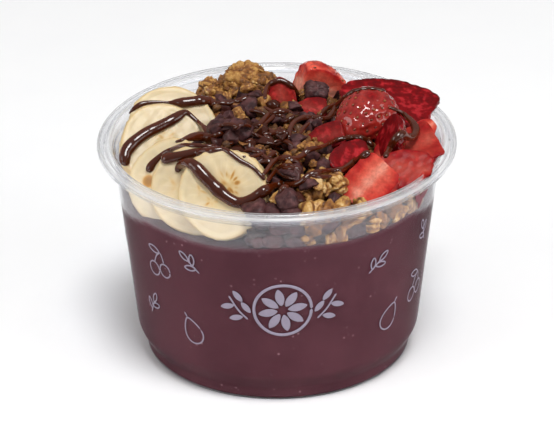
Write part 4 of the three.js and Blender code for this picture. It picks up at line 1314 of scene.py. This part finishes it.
def settle(pile, x, y, size, height):
    """Height of the middle of a piece that comes to rest at a place in plan, from the mean and the
    highest of what is under it. Adds the piece to the pile as a dome."""
    col, row = int((x + SPAN) / CELL), int((y + SPAN) / CELL)
    reach = max(int(size * SINK / CELL), 1)
    part = pile[col - reach : col + reach + 1, row - reach : row + reach + 1]
    ground = 0.65 * part.mean() + 0.35 * part.max()
    middle = ground + height * SINK
    side = np.arange(-reach, reach + 1) * CELL
    share_out = (side[:, None] ** 2 + side**2) / (size * 0.5) ** 2
    dome = middle + height * 0.5 * np.sqrt(np.clip(1 - share_out, 0, 1))
    part[:] = np.where(share_out < 1, np.maximum(part, dome), part)
    return middle


def strewn(count, rng, margin, tries=10):
    """Places in plan over the heap, each the farthest of several tries from the last ones."""
    places = np.zeros((0, 2))
    while len(places) < count:
        options = rng.uniform(-WALL_TOP, WALL_TOP, (tries, 2))
        angle = np.degrees(np.arctan2(options[:, 1], options[:, 0]))
        room = np.minimum(heap_radius(angle), PUREE_RADIUS) - margin
        options = options[np.hypot(options[:, 0], options[:, 1]) < room]
        if len(options) == 0:
            continue
        if len(places) == 0:
            places = options[:1]
            continue
        clear = np.min(np.hypot(*(options[:, None] - places[None]).transpose(2, 0, 1)), axis=1)
        places = np.vstack([places, options[clear.argmax()]])
    return places


def granola_share(x, y):
    """Share of granola among the loose pieces at a place: high at the back, at the front right
    and along the left, low in the middle."""
    back = np.exp(-(((x + 6) / 16) ** 2) - ((y - 38) / 11) ** 2)
    front = np.exp(-(((x - 20) / 14) ** 2) - ((y + 44) / 8) ** 2)
    middle = np.exp(-((x / 26) ** 2) - ((y + 4) / 24) ** 2)
    return np.clip(0.5 + 0.6 * back + 0.5 * front - 0.18 * middle, 0.2, 1)


def view_axes():
    """Right, up and back of the camera before its roll."""
    right = np.array([1.0, 0, 0])
    back = np.array([0, -math.cos(ELEVATION), math.sin(ELEVATION)])
    return right, np.cross(back, right), back


def view_ray(pixel_x, pixel_y):
    """Start and direction of the line of sight through a pixel, in millimetres."""
    right, up, back = view_axes()
    u, v = pixel_x - AIM_PIXEL[0], AIM_PIXEL[1] - pixel_y
    c, s = math.cos(ROLL), math.sin(ROLL)
    across, above = (c * u + s * v) / PIXELS_PER_MM, (-s * u + c * v) / PIXELS_PER_MM
    start = np.array(AIM) + DISTANCE * back
    way = -back * DISTANCE + right * across + up * above
    return start, way / np.linalg.norm(way)


def place_in_view(pixel_x, pixel_y, pile):
    """The place in plan where the line of sight through a pixel meets the pile."""
    start, way = view_ray(pixel_x, pixel_y)
    height = HEAP_TOP + 0.8
    for _ in range(4):
        spot = start + way * (height - start[2]) / way[2]
        col, row = (int(np.clip((v + SPAN) / CELL, 0, len(pile) - 1)) for v in spot[:2])
        height = pile[col, row] + 1.5
    inward = min(1, TOP_RADIUS / math.hypot(spot[0], spot[1]))
    return spot[0] * inward, spot[1] * inward


def heap_core_shape():
    """The heap's core: its outline follows heap_radius but stays inside the wall, its side stands
    on the puree and its top follows heap_height, lowered, with crumbs as relief."""
    turn = around(150) - math.pi
    foot = np.minimum(heap_radius(np.degrees(turn)), CORE_RADIUS)
    out = np.linspace(0, 1, 60)[1:, None]
    radius = out * foot
    x, y = radius * np.cos(turn), radius * np.sin(turn)
    relief = 0.7 * ripple_over((x, y), 5, 11) + 0.45 * ripple_over((x, y), 2.2, 12)
    height = heap_height(x, y) - CORE_DEPTH + relief - 2.2 * out**12
    down = np.linspace(0, 1, 14)[1:, None]
    side_height = height[-1] + (HEAP_BASE - height[-1]) * down
    side_radius = np.minimum(foot, wall_radius(side_height, 1.3))
    side = (side_radius * np.cos(turn), side_radius * np.sin(turn), side_height)
    side_radius = side_radius + 0.5 * (ripple_over(side, 4, 13) - 1)
    grid = turned(np.vstack([radius, side_radius]), turn, np.vstack([height, side_height]))
    return shell(grid, (0, 0, height[0].mean()), (0, 0, HEAP_BASE))


def loose_pieces():
    """All loose pieces of the heap: granola crumbs, oat flakes and chips as they fall, then the
    clusters at the back, the pieces against the wall and those that can be told apart on top.
    Returns the granola and the chips."""
    filling = settings("filling")
    rng = np.random.default_rng(31)
    pile = empty_pile()
    granola, chips = [], []

    def drop(x, y, kind, size, lean=0.5):
        """Lets one piece fall. It is left out where it would cut into fruit, hide it, or stand
        too high, and is moved in from the wall."""
        height = size * {"chip": 0.72, "crisp": 0.75, "flake": 0.3}[kind]
        trial = pile.copy()
        z = settle(trial, x, y, size, height)
        too_high = z > heap_height(x, y) + 4.2
        if too_high or near_fruit((x, y, z), size / 2) or hides_fruit((x, y, z)):
            return
        room = wall_radius(z) - 0.42 * size
        away = math.hypot(x, y)
        if away > room:
            x, y = x * room / away, y * room / away
        pile[:] = trial
        normal = np.array([lean * rng.normal(), lean * rng.normal(), 1.0])
        sauced = math.exp(-((x + 1) ** 2 + (y + 2) ** 2) / 15**2)
        if kind == "chip":
            base = spun(normal, rng) * size
            chips.append(moved(chip_shape(rng), base, (x, y, z), shade=rng.uniform(0.1, 1) - 0.6 * sauced))
            return
        shade = rng.uniform(0.4, 1.2) * (1 - 0.4 * sauced)
        if kind == "flake":
            base = spun(normal, rng) * size * 1.2
            granola.append(moved(flake_shape(rng), base, (x, y, z + 0.2), shade=shade))
        else:
            granola.append(moved(crisp_shape(rng), any_turn(rng) * size, (x, y, z), shade=shade))

    def lay(pixel_x, pixel_y, size, height):
        """The place of a piece on top, by its pixel."""
        x, y = place_in_view(pixel_x, pixel_y, pile)
        return x, y, settle(pile, x, y, size, height)

    for x, y in strewn(filling.granola_count, rng, 1.5, 5):
        kind = "flake" if rng.uniform() < 0.3 else "crisp"
        drop(x, y, kind, rng.uniform(2.6, 5.4))
    for x, y in strewn(filling.chip_count, rng, 3.0):
        if rng.uniform() > granola_share(x, y) * 0.85:
            drop(x, y, "chip", rng.uniform(4.4, 6.4), 1.2)
        else:
            drop(x, y, "crisp", rng.uniform(4.0, 6.5))
    for x, y in strewn(CRUMBS, rng, 2.5, 4):
        if rng.uniform() < granola_share(x, y) + 0.1:
            drop(x, y, "flake" if rng.uniform() < 0.45 else "crisp", rng.uniform(1.8, 3.8))
    granola += cluster_pieces(rng)
    side_granola, side_chips = wall_pieces(rng)
    granola += side_granola
    chips += side_chips
    for pixel_x, pixel_y, size, bare in TOP_CHIPS:
        place = lay(pixel_x, pixel_y, size, size * 0.7)
        normal = (0.8 * rng.normal(), 0.8 * rng.normal() - 0.4, 1.0)
        base = spun(normal, rng) * size * 0.92
        chips.append(moved(chip_shape(rng, 22, 34), base, place, shade=bare))
    for pixel_x, pixel_y, size, light in TOP_CRISPS:
        x, y, z = lay(pixel_x, pixel_y, size, size * 0.7)
        large = size > 7
        crisp = lump_shape(rng, 30, 44) if large else crisp_shape(rng, 12, 18)
        granola.append(moved(crisp, any_turn(rng) * size, (x, y, z - 0.4 * size * large), shade=light))
    for pixel_x, pixel_y, size, light in TOP_FLAKES:
        place = lay(pixel_x, pixel_y, size, size * 0.3)
        normal = (0.4 * rng.normal(), 0.4 * rng.normal() - 0.7, 1.0)
        base = spun(normal, rng) * size * 1.1
        granola.append(moved(flake_shape(rng), base, place, shade=light))
    return [(inside_room(points), *rest) for points, *rest in (joined(granola), joined(chips))]


def cluster_pieces(rng):
    """The tall clusters: each large lump is a knobbly ball, with crumbs and flakes baked onto it
    in random directions."""
    found = []
    for x, y, z, radius in CLUSTERS:
        base = any_turn(rng) * radius * 1.9
        found.append(moved(lump_shape(rng), base, (x, y, z), shade=rng.uniform(0.85, 1.1)))
        for _ in range(int(4.5 * radius)):
            way = rng.normal(size=3)
            way[2] = abs(way[2]) * 0.8
            way[1] -= 0.4
            way = unit(way)
            place = np.array([x, y, z]) + way * radius * 0.78
            if place[2] < TUB_HEIGHT and math.hypot(place[0], place[1]) > wall_radius(place[2]) - 1.4:
                continue
            if rng.uniform() < 0.35:
                base = spun(way + 0.5 * rng.normal(size=3), rng) * rng.uniform(2.6, 4.4)
                found.append(moved(flake_shape(rng), base, place, shade=rng.uniform(0.6, 1.3)))
            else:
                base = any_turn(rng) * rng.uniform(1.6, 1.2 + 0.6 * radius)
                found.append(moved(crisp_shape(rng, 8, 12), base, place, shade=rng.uniform(0.5, 1.3)))
    return found


def wall_pieces(rng):
    """Pieces that stand against the wall or on the heap's open sides, in rows over the puree:
    chips at the front left of the heap, and elsewhere granola with a chip here and there."""
    granola, chips = [], []
    for angle in np.arange(-178, 180, WALL_STEP):
        for row, (height, size) in enumerate(WALL_ROWS):
            turn = math.radians(angle + WALL_STEP / 2 * (row % 2) + rng.uniform(-2.2, 2.2))
            z = height + rng.uniform(-1.2, 1.2)
            big = size * rng.uniform(0.7, 1.25)
            radius = min(wall_radius(z) - 0.52 * big, heap_radius(math.degrees(turn)) + 0.2)
            x, y = radius * math.cos(turn), radius * math.sin(turn)
            if z < puree_height(x, y) - 1 or near_fruit((x, y, z), big / 2):
                continue
            if CHIPS_FROM < angle < CHIPS_TO or rng.uniform() < 0.18:
                base = spun((x + 9 * rng.normal(), y + 9 * rng.normal(), 12), rng) * big * 1.1
                chips.append(moved(chip_shape(rng, 12, 18), base, (x, y, z), shade=rng.uniform(0.6, 1)))
            else:
                crisp = crisp_shape(rng, 14, 20)
                base = any_turn(rng) * big * 1.15
                granola.append(moved(crisp, base, (x, y, z), shade=rng.uniform(0.7, 1.2)))
    return granola, chips


def surface_trees(pieces):
    """Search trees of finished pieces, to lay the sauce on them."""
    graph = bpy.context.evaluated_depsgraph_get()
    return [BVHTree.FromObject(piece, graph) for piece in pieces]


def first_hit(trees, start, way):
    """Distance and normal of the nearest surface along a line of sight, or None."""
    best = None
    for tree in trees:
        _, normal, _, distance = tree.ray_cast(Vector(start * MM), Vector(way))
        if distance is not None and (best is None or distance < best[0]):
            best = (distance, np.array(normal))
    return best


def smooth_line(stops, step):
    """A smooth line through stops, one point about every `step`: a Catmull-Rom spline."""
    stops = np.asarray(stops, float)
    padded = np.vstack([2 * stops[0] - stops[1], stops, 2 * stops[-1] - stops[-2]])
    parts = []
    for a, b, c, d in zip(padded, padded[1:], padded[2:], padded[3:]):
        count = max(int(np.linalg.norm(c - b) / step), 2)
        t = np.linspace(0, 1, count, endpoint=False)[:, None]
        bend = (2 * a - 5 * b + 4 * c - d) * t**2 + (3 * b - a - 3 * c + d) * t**3
        parts.append(0.5 * (2 * b + (c - a) * t + bend))
    return np.vstack(parts + [stops[-1:]])


def averaged(values, reach):
    """Values smoothed along the line by a bell of about `reach` points, with the ends held."""
    offsets = np.arange(-3 * reach, 3 * reach + 1)
    weights = np.exp(-0.5 * (offsets / reach) ** 2)
    weights /= weights.sum()
    held = np.concatenate([np.repeat(values[:1], 3 * reach, 0), values, np.repeat(values[-1:], 3 * reach, 0)])
    columns = held.reshape(len(held), -1).T
    smooth = np.array([np.convolve(column, weights, "valid") for column in columns]).T
    return smooth.reshape(values.shape)


def run_along(path):
    """How far along a path each of its points lies."""
    return np.concatenate([[0], np.cumsum(np.linalg.norm(np.diff(path, axis=0), axis=1))])


def strand_shape(stops, trees, rng, calm=2):
    """A sauce strand: the line through its stops is followed in view, and the nearest surface gives
    its distance. The strand keeps to the farthest line that is nowhere behind a surface and falls
    away no steeper than DIVE, so that it bridges gaps, and is smoothed as thick sauce lies. Its
    ends are cut back to where it lies on something."""
    track = smooth_line(stops, 1.1)
    sights = [view_ray(x, y) for x, y, _ in track]
    hits = [first_hit(trees, start, way) for start, way in sights]
    struck = [i for i, hit in enumerate(hits) if hit]
    if not struck:
        raise RuntimeError(f"no topping under the strand that starts at pixel {stops[0]}")
    hits = [hits[min(struck, key=lambda other: abs(other - i))] for i in range(len(hits))]
    distances = np.array([hit[0] / MM for hit in hits])
    normals = np.array([hit[1] for hit in hits])
    seen = run_along(track[:, :2]) / PIXELS_PER_MM
    depth = averaged((distances + DIVE * np.abs(seen[:, None] - seen)).min(1), calm)
    gap = distances - depth
    lying = np.flatnonzero(gap <= max(FREE_END, np.median(gap)))
    held = slice(lying[0], lying[-1] + 1)
    track, normals, sights, depth = track[held], normals[held], sights[held], depth[held]
    path = np.array([start + way * d for (start, way), d in zip(sights, depth)])
    up = unit(averaged(normals, 6) + 0.6 * view_axes()[2] + np.array([0, 0, 0.3]))
    run = run_along(path)
    width = np.maximum(1.12 * track[:, 2], 0.4)
    end = np.minimum(run, run[-1] - run)
    taper = np.sqrt(np.clip(1 - (1 - np.clip(end / (0.5 * width), 0, 1)) ** 2, 0, 1))
    wave = 1 + 0.06 * ripple(path, 9, rng.integers(1e6)) + 0.03 * ripple(path, 4, rng.integers(1e6))
    widths = width * wave * np.maximum(taper, 0.05)
    path = path + up * (0.14 * width[:, None])
    return swept(path, up, widths, 0.74 * widths, 14)


def dab_shapes(trees, rng):
    """Short runs of sauce over the heap and between its pieces: random short lines in view."""
    shapes = []
    while len(shapes) < SAUCE_DABS:
        pixel = np.array([rng.triangular(*DABS_ACROSS), rng.triangular(*DABS_DOWN)])
        start, way = view_ray(*pixel)
        hit = first_hit(trees, start, way)
        if hit is None:
            continue
        spot = start + way * hit[0] / MM
        angle = math.degrees(math.atan2(spot[1], spot[0]))
        if math.hypot(spot[0], spot[1]) > heap_radius(angle) - 4 or near_fruit(spot, 3):
            continue
        angle = rng.uniform(-0.6, 1.1)
        reach = rng.uniform(5, 12)
        way_on = np.array([math.cos(angle), -math.sin(angle)])
        aside = np.array([way_on[1], -way_on[0]]) * rng.uniform(-3, 3)
        width = rng.uniform(0.9, 1.7)
        start, middle, end = pixel - way_on * reach, pixel + aside, pixel + way_on * reach
        stops = [(*start, 0.5 * width), (*middle, width), (*end, 0.5 * width)]
        shapes.append(strand_shape(stops, trees, rng, 4))
    return shapes


# ---------------------------------------------------------------- print


def on_wall(points, proud):
    """Points (along the wall, height, out) wrapped onto the tub's outer face. The first is an arc
    length from the front, to the right, at the radius of mid height."""
    radius = np.interp(points[..., 1], *wall_line(-1))
    angle = points[..., 0] / MID_RADIUS - math.pi / 2
    out = radius + proud + points[..., 2]
    return np.stack([out * np.cos(angle), out * np.sin(angle), points[..., 1]], -1)


def printed_line(stops, width):
    """A printed line: a flat oval strand along a smooth line on the wall."""
    track = smooth_line(stops, 0.5)
    path = on_wall(np.column_stack([track, 0 * track[:, 0]]), 0.03)
    ups = unit(path * np.array([1, 1, 0]))
    size = np.full(len(path), width)
    size[[0, -1]] = 0.02
    return swept(path, ups, size, np.full(len(path), 0.08), 6)


def printed_patch(centre, outline):
    """A printed patch: rings from the middle out to a closed outline and back below it."""
    turn = around(64)
    edge = outline(turn)
    shares = np.concatenate([np.linspace(0, 1, 9)[1:], np.linspace(1, 0, 6)[1:-1]])
    out = np.concatenate([np.full(8, 0.05), np.full(4, -0.02)])
    flat = np.array(centre) + shares[:, None, None] * edge[None]
    grid = on_wall(np.concatenate([flat, np.repeat(out[:, None, None], len(turn), 1)], -1), 0.02)
    ends = on_wall(np.array([[*centre, 0.05], [*centre, -0.02]]), 0.02)
    return shell(grid, ends[0], ends[1])


def circle(radius_x, radius_y, tilt=0.0):
    """An outline: an ellipse turned by a tilt."""

    def outline(turn):
        return tilted(np.stack([radius_x * np.cos(turn), radius_y * np.sin(turn)], -1), tilt)

    return outline


def leaf(length_mm, width_mm, tilt):
    """An outline: a leaf with two pointed ends, turned by a tilt. Its half width is a sine to the
    power 1.5."""

    def outline(turn):
        aside = width_mm / 2 * np.sin(turn) * np.abs(np.sin(turn)) ** 0.5
        return tilted(np.stack([length_mm / 2 * np.cos(turn), aside], -1), tilt)

    return outline


def along_outline(centre, outline, width):
    """A printed line along a closed outline. It starts and ends at the same place."""
    turn = TURN * np.arange(0, 25) / 24
    return printed_line(np.array(centre) + outline(turn), width)


def print_shapes(width):
    """A plain fruit pattern: a citrus wheel between two sprigs at the front, and pears, plums and
    single leaves round the wall."""
    shapes = [along_outline(WHEEL, circle(9.4, 9.4), 1.0)]
    for tilt in around(8) + 0.2:
        spot = (WHEEL[0] + 4.9 * math.cos(tilt), WHEEL[1] + 4.9 * math.sin(tilt))
        shapes.append(printed_patch(spot, leaf(6.4, 2.9, tilt)))
    for side in (-1, 1):
        shapes.append(printed_line([(WHEEL[0] + side * x, y + SPRIG_LIFT) for x, y in SPRIG_STEM], 0.6))
        for x, y, tilt in SPRIG_LEAVES:
            mirrored = tilt if side > 0 else math.pi - tilt
            spot = (WHEEL[0] + side * x, y + SPRIG_LIFT)
            shapes.append(printed_patch(spot, leaf(4.8, 2.1, mirrored)))
    for motif, places in ((plums, PLUMS), (pear, PEARS), (sprig, SPRIGS)):
        for place in places:
            shapes += motif(*place, width)
    return joined(shapes)


def plums(x, y, width):
    """Two round fruits on one stalk with a leaf, as outlines."""
    left, right = (x - 2.6, y - 2.6), (x + 2.6, y - 1.8)
    return [
        along_outline(left, circle(2.4, 2.5), width),
        along_outline(right, circle(2.3, 2.4), width),
        printed_line([(x - 2.2, y), (x - 0.8, y + 2.8), (x + 1.2, y + 4.6)], width),
        printed_line([(x + 2.4, y + 0.8), (x + 1.9, y + 2.8), (x + 1.2, y + 4.6)], width),
        along_outline((x - 1.8, y + 4.9), leaf(5.2, 2.2, -0.2), width),
    ]


def pear(x, y, tilt, width):
    """A pear with a stalk, as an outline that narrows upwards."""

    def outline(turn):
        narrow = 1 - 0.36 * np.sin(turn) - 0.1 * np.sin(turn) ** 2
        return tilted(np.stack([3.4 * np.cos(turn) * narrow, 4.8 * np.sin(turn)], -1), tilt)

    top = outline(np.array([math.pi / 2]))[0]
    stalk = [(x + top[0] * across, y + top[1] * up) for across, up in ((1, 1), (1.25, 1.25), (1.6, 1.45))]
    return [along_outline((x, y), outline, width), printed_line(stalk, width)]


def sprig(x, y, tilt, width):
    """A short stem with three leaves, as outlines."""
    c, s = math.cos(tilt), math.sin(tilt)
    shapes = [printed_line([(x - 3 * c, y - 3 * s), (x, y), (x + 3 * c, y + 3 * s)], width)]
    for step, turn in ((-1, 0.8), (0.6, -0.8), (2.6, 0.0)):
        spot = (x + step * c + 2 * math.cos(tilt + turn), y + step * s + 2 * math.sin(tilt + turn))
        shapes.append(along_outline(spot, leaf(4.2, 1.8, tilt + turn), width))
    return shapes


# ---------------------------------------------------------------- stage


def make_floor():
    """A round sheet of white paper, flat under the bowl."""
    out = np.linspace(0, 1, 13)[1:, None] ** 2 * FLOOR_RADIUS
    top = turned(out, around(64), 0)
    under = turned(out[::-1], around(64), -FLOOR_DEPTH)[:-1]
    points, quads, tris, _ = shell(np.concatenate([top, under]), (0, 0, 0), (0, 0, -FLOOR_DEPTH))
    mesh = bpy.data.meshes.new("floor")
    mesh.from_pydata((points * MM).tolist(), [], quads.tolist() + tris.tolist())
    mesh.materials.append(new_material("Background_paper_white", studio_paper))
    floor = bpy.data.objects.new("floor", mesh)
    bpy.context.scene.collection.objects.link(floor)


def make_light():
    """Soft studio light: a dim room, brighter overhead, with a white backdrop where it is looked
    at, a key high over the camera and a fill from each side."""
    world = bpy.data.worlds.new("Studio")
    bpy.context.scene.world = world
    world.use_nodes = True
    tree = world.node_tree
    tree.nodes.clear()
    path = add(tree, "LightPath")
    height = add(tree, "SeparateXYZ", {0: add(tree, "TexCoord")["Generated"]})["Z"]
    room = add(tree, "ValToRGB", {"Fac": height}, stops=[
        (0.0, grey(0.12)), (0.35, grey(0.3)), (1.0, grey(0.5)),
    ])["Color"]
    dim = add(tree, "Background", {"Color": room, "Strength": 0.9})
    backdrop = add(tree, "Background", {"Color": "#ffffff", "Strength": 1.0})
    looked_at = {0: path["Is Camera Ray"], 1: path["Is Transmission Ray"]}
    seen = add(tree, "Math", looked_at, operation="MAXIMUM")[0]
    both = add(tree, "MixShader", {0: seen, 1: dim[0], 2: backdrop[0]})
    add(tree, "OutputWorld", {"Surface": both[0]})
    for name, place, size, power in LAMPS:
        lamp = bpy.data.lights.new(name, "AREA")
        lamp.shape = "DISK"
        lamp.size = size
        lamp.energy = power
        holder = bpy.data.objects.new(name, lamp)
        holder.location = place
        aim = Vector(LAMP_AIM) - Vector(place)
        holder.rotation_euler = aim.to_track_quat("-Z", "Y").to_euler()
        bpy.context.scene.collection.objects.link(holder)
    bpy.context.scene.view_settings.view_transform = "Standard"


def make_camera():
    """A long lens from the front, raised, with a slight roll, turned so that AIM shows at
    AIM_PIXEL without a lens shift."""
    right, up, back = view_axes()
    c, s = math.cos(ROLL), math.sin(ROLL)
    columns = Matrix(np.stack([c * right - s * up, s * right + c * up, back], 1).tolist()).to_4x4()
    focal = DISTANCE * PIXELS_PER_MM
    pitch = math.atan((AIM_PIXEL[1] - FRAME_HEIGHT / 2) / focal)
    yaw = math.atan((AIM_PIXEL[0] - FRAME_WIDTH / 2) / focal)
    lens = bpy.data.cameras.new("Camera")
    lens.sensor_width = SENSOR
    lens.lens = SENSOR * focal / FRAME_WIDTH
    lens.clip_end = 20
    camera = bpy.data.objects.new("Camera", lens)
    place = Matrix.Translation(Vector(AIM) * MM + Vector(back) * DISTANCE * MM)
    camera.matrix_world = place @ columns @ Matrix.Rotation(pitch, 4, "X") @ Matrix.Rotation(yaw, 4, "Y")
    bpy.context.scene.collection.objects.link(camera)
    bpy.context.scene.camera = camera


# ---------------------------------------------------------------- operators


class ACAI_OT_tub(bpy.types.Operator):
    """Makes the clear tub"""

    bl_idname = "acai.tub"
    bl_label = "Tub"

    def execute(self, context):
        sheet = new_material("PET_thermoformed_clear", clear_pet)
        new_piece("clear_tub", tub_shape(), sheet, ["tub"])
        return {"FINISHED"}


class ACAI_OT_print(bpy.types.Operator):
    """Makes the print on the tub"""

    bl_idname = "acai.print"
    bl_label = "Print"

    def execute(self, context):
        tub = settings("tub")
        lilac = new_material("Screen_ink_lilac", ink, tub.ink)
        new_piece("fruit_print", print_shapes(tub.line / MM), lilac)
        leaves = joined([printed_patch((x, y), leaf(6.0, 2.6, tilt)) for x, y, tilt in RED_LEAVES])
        new_piece("leaf_print", leaves, new_material("Screen_ink_red", ink, tub.mark))
        return {"FINISHED"}


class ACAI_OT_puree(bpy.types.Operator):
    """Makes the frozen puree"""

    bl_idname = "acai.puree"
    bl_label = "Puree"

    def execute(self, context):
        frozen = new_material("Fruit_puree_frozen", frozen_puree)
        new_piece("frozen_puree", puree_shape(), frozen, ["acai_puree"])
        return {"FINISHED"}


class ACAI_OT_banana(bpy.types.Operator):
    """Makes the banana slices"""

    bl_idname = "acai.banana"
    bl_label = "Banana slices"

    def execute(self, context):
        flesh = new_material("Banana_flesh_sliced", banana_flesh)
        for index in range(len(SLICES)):
            name = f"banana_slice_{index + 1}"
            new_piece("fresh_" + name, slice_shape(index), flesh, [name])
        return {"FINISHED"}


class ACAI_OT_strawberries(bpy.types.Operator):
    """Makes the strawberry pieces and their seeds"""

    bl_idname = "acai.strawberries"
    bl_label = "Strawberries"

    def execute(self, context):
        flesh = new_material("Strawberry_cut", strawberry)
        seeds = []
        for index in range(len(BERRIES)):
            body, pips = berry_shape(index)
            name = f"strawberry_{index + 1}"
            new_piece("cut_" + name, body, flesh, [name])
            if pips is not None:
                seeds.append(pips)
        nutlets = new_material("Strawberry_seed", berry_seed)
        new_piece("strawberry_seeds", joined(seeds), nutlets)
        return {"FINISHED"}


class ACAI_OT_heap(bpy.types.Operator):
    """Makes the granola heap: its core, the granola and the chocolate chips"""

    bl_idname = "acai.heap"
    bl_label = "Granola heap"

    def execute(self, context):
        granola, chips = loose_pieces()
        ground = new_material("Crumbs_with_gap_shade", heap_core_gap_shade)
        new_piece("heap_core", heap_core_shape(), ground, ["granola_heap"])
        new_piece("granola_pieces", granola, new_material("Granola_baked", toasted_granola))
        chocolate = new_material("Dark_chocolate_chip", chocolate_chip)
        new_piece("chocolate_chips", chips, chocolate)
        new_piece("chocolate_chunk", chunk_shape(), chocolate)
        return {"FINISHED"}


class ACAI_OT_sauce(bpy.types.Operator):
    """Lays the chocolate sauce on the toppings"""

    bl_idname = "acai.sauce"
    bl_label = "Sauce"

    def execute(self, context):
        toppings = ("fresh_", "cut_", "heap_", "granola_pieces", "chocolate_ch")
        carriers = [piece for piece in context.scene.objects if piece.name.startswith(toppings)]
        if not carriers:
            raise RuntimeError("make the toppings first: the sauce lies on them")
        trees = surface_trees(carriers)
        rng = np.random.default_rng(5)
        shapes = [strand_shape(stops, trees, rng) for stops in STRANDS]
        shapes += dab_shapes(trees, rng)
        poured = new_material("Chocolate_sauce_poured", chocolate_sauce)
        new_piece("chocolate_sauce", joined(shapes), poured)
        return {"FINISHED"}


class ACAI_OT_stage(bpy.types.Operator):
    """Makes the floor, the light and the camera"""

    bl_idname = "acai.stage"
    bl_label = "Stage"

    def execute(self, context):
        make_floor()
        make_light()
        make_camera()
        return {"FINISHED"}


class ACAI_PT_panel(bpy.types.Panel):
    """The bowl's settings and steps"""

    bl_idname = "ACAI_PT_panel"
    bl_label = "Acai bowl"
    bl_space_type = "VIEW_3D"
    bl_region_type = "UI"
    bl_category = "Acai bowl"

    def draw(self, context):
        for group in GROUPS:
            box = self.layout.box()
            box.label(text=group.capitalize())
            for key in GROUPS[group].__annotations__:
                box.prop(settings(group), key)
        for operator in OPERATORS:
            self.layout.operator(operator.bl_idname)


OPERATORS = (
    ACAI_OT_tub,
    ACAI_OT_print,
    ACAI_OT_puree,
    ACAI_OT_banana,
    ACAI_OT_strawberries,
    ACAI_OT_heap,
    ACAI_OT_sauce,
    ACAI_OT_stage,
)


def register():
    """Registers the settings, the operators and the panel."""
    for name, group in GROUPS.items():
        bpy.utils.register_class(group)
        setattr(bpy.types.Scene, "acai_" + name, bpy.props.PointerProperty(type=group))
    for item in (*OPERATORS, ACAI_PT_panel):
        bpy.utils.register_class(item)


def unregister():
    """Takes them out again."""
    for item in (ACAI_PT_panel, *reversed(OPERATORS)):
        bpy.utils.unregister_class(item)
    for name, group in reversed(GROUPS.items()):
        delattr(bpy.types.Scene, "acai_" + name)
        bpy.utils.unregister_class(group)


def main():
    """Makes every piece in order."""
    register()
    bpy.ops.acai.tub()
    bpy.ops.acai.print()
    bpy.ops.acai.puree()
    bpy.ops.acai.banana()
    bpy.ops.acai.strawberries()
    bpy.ops.acai.heap()
    bpy.ops.acai.sauce()
    bpy.ops.acai.stage()


if __name__ == "__main__":
    main()
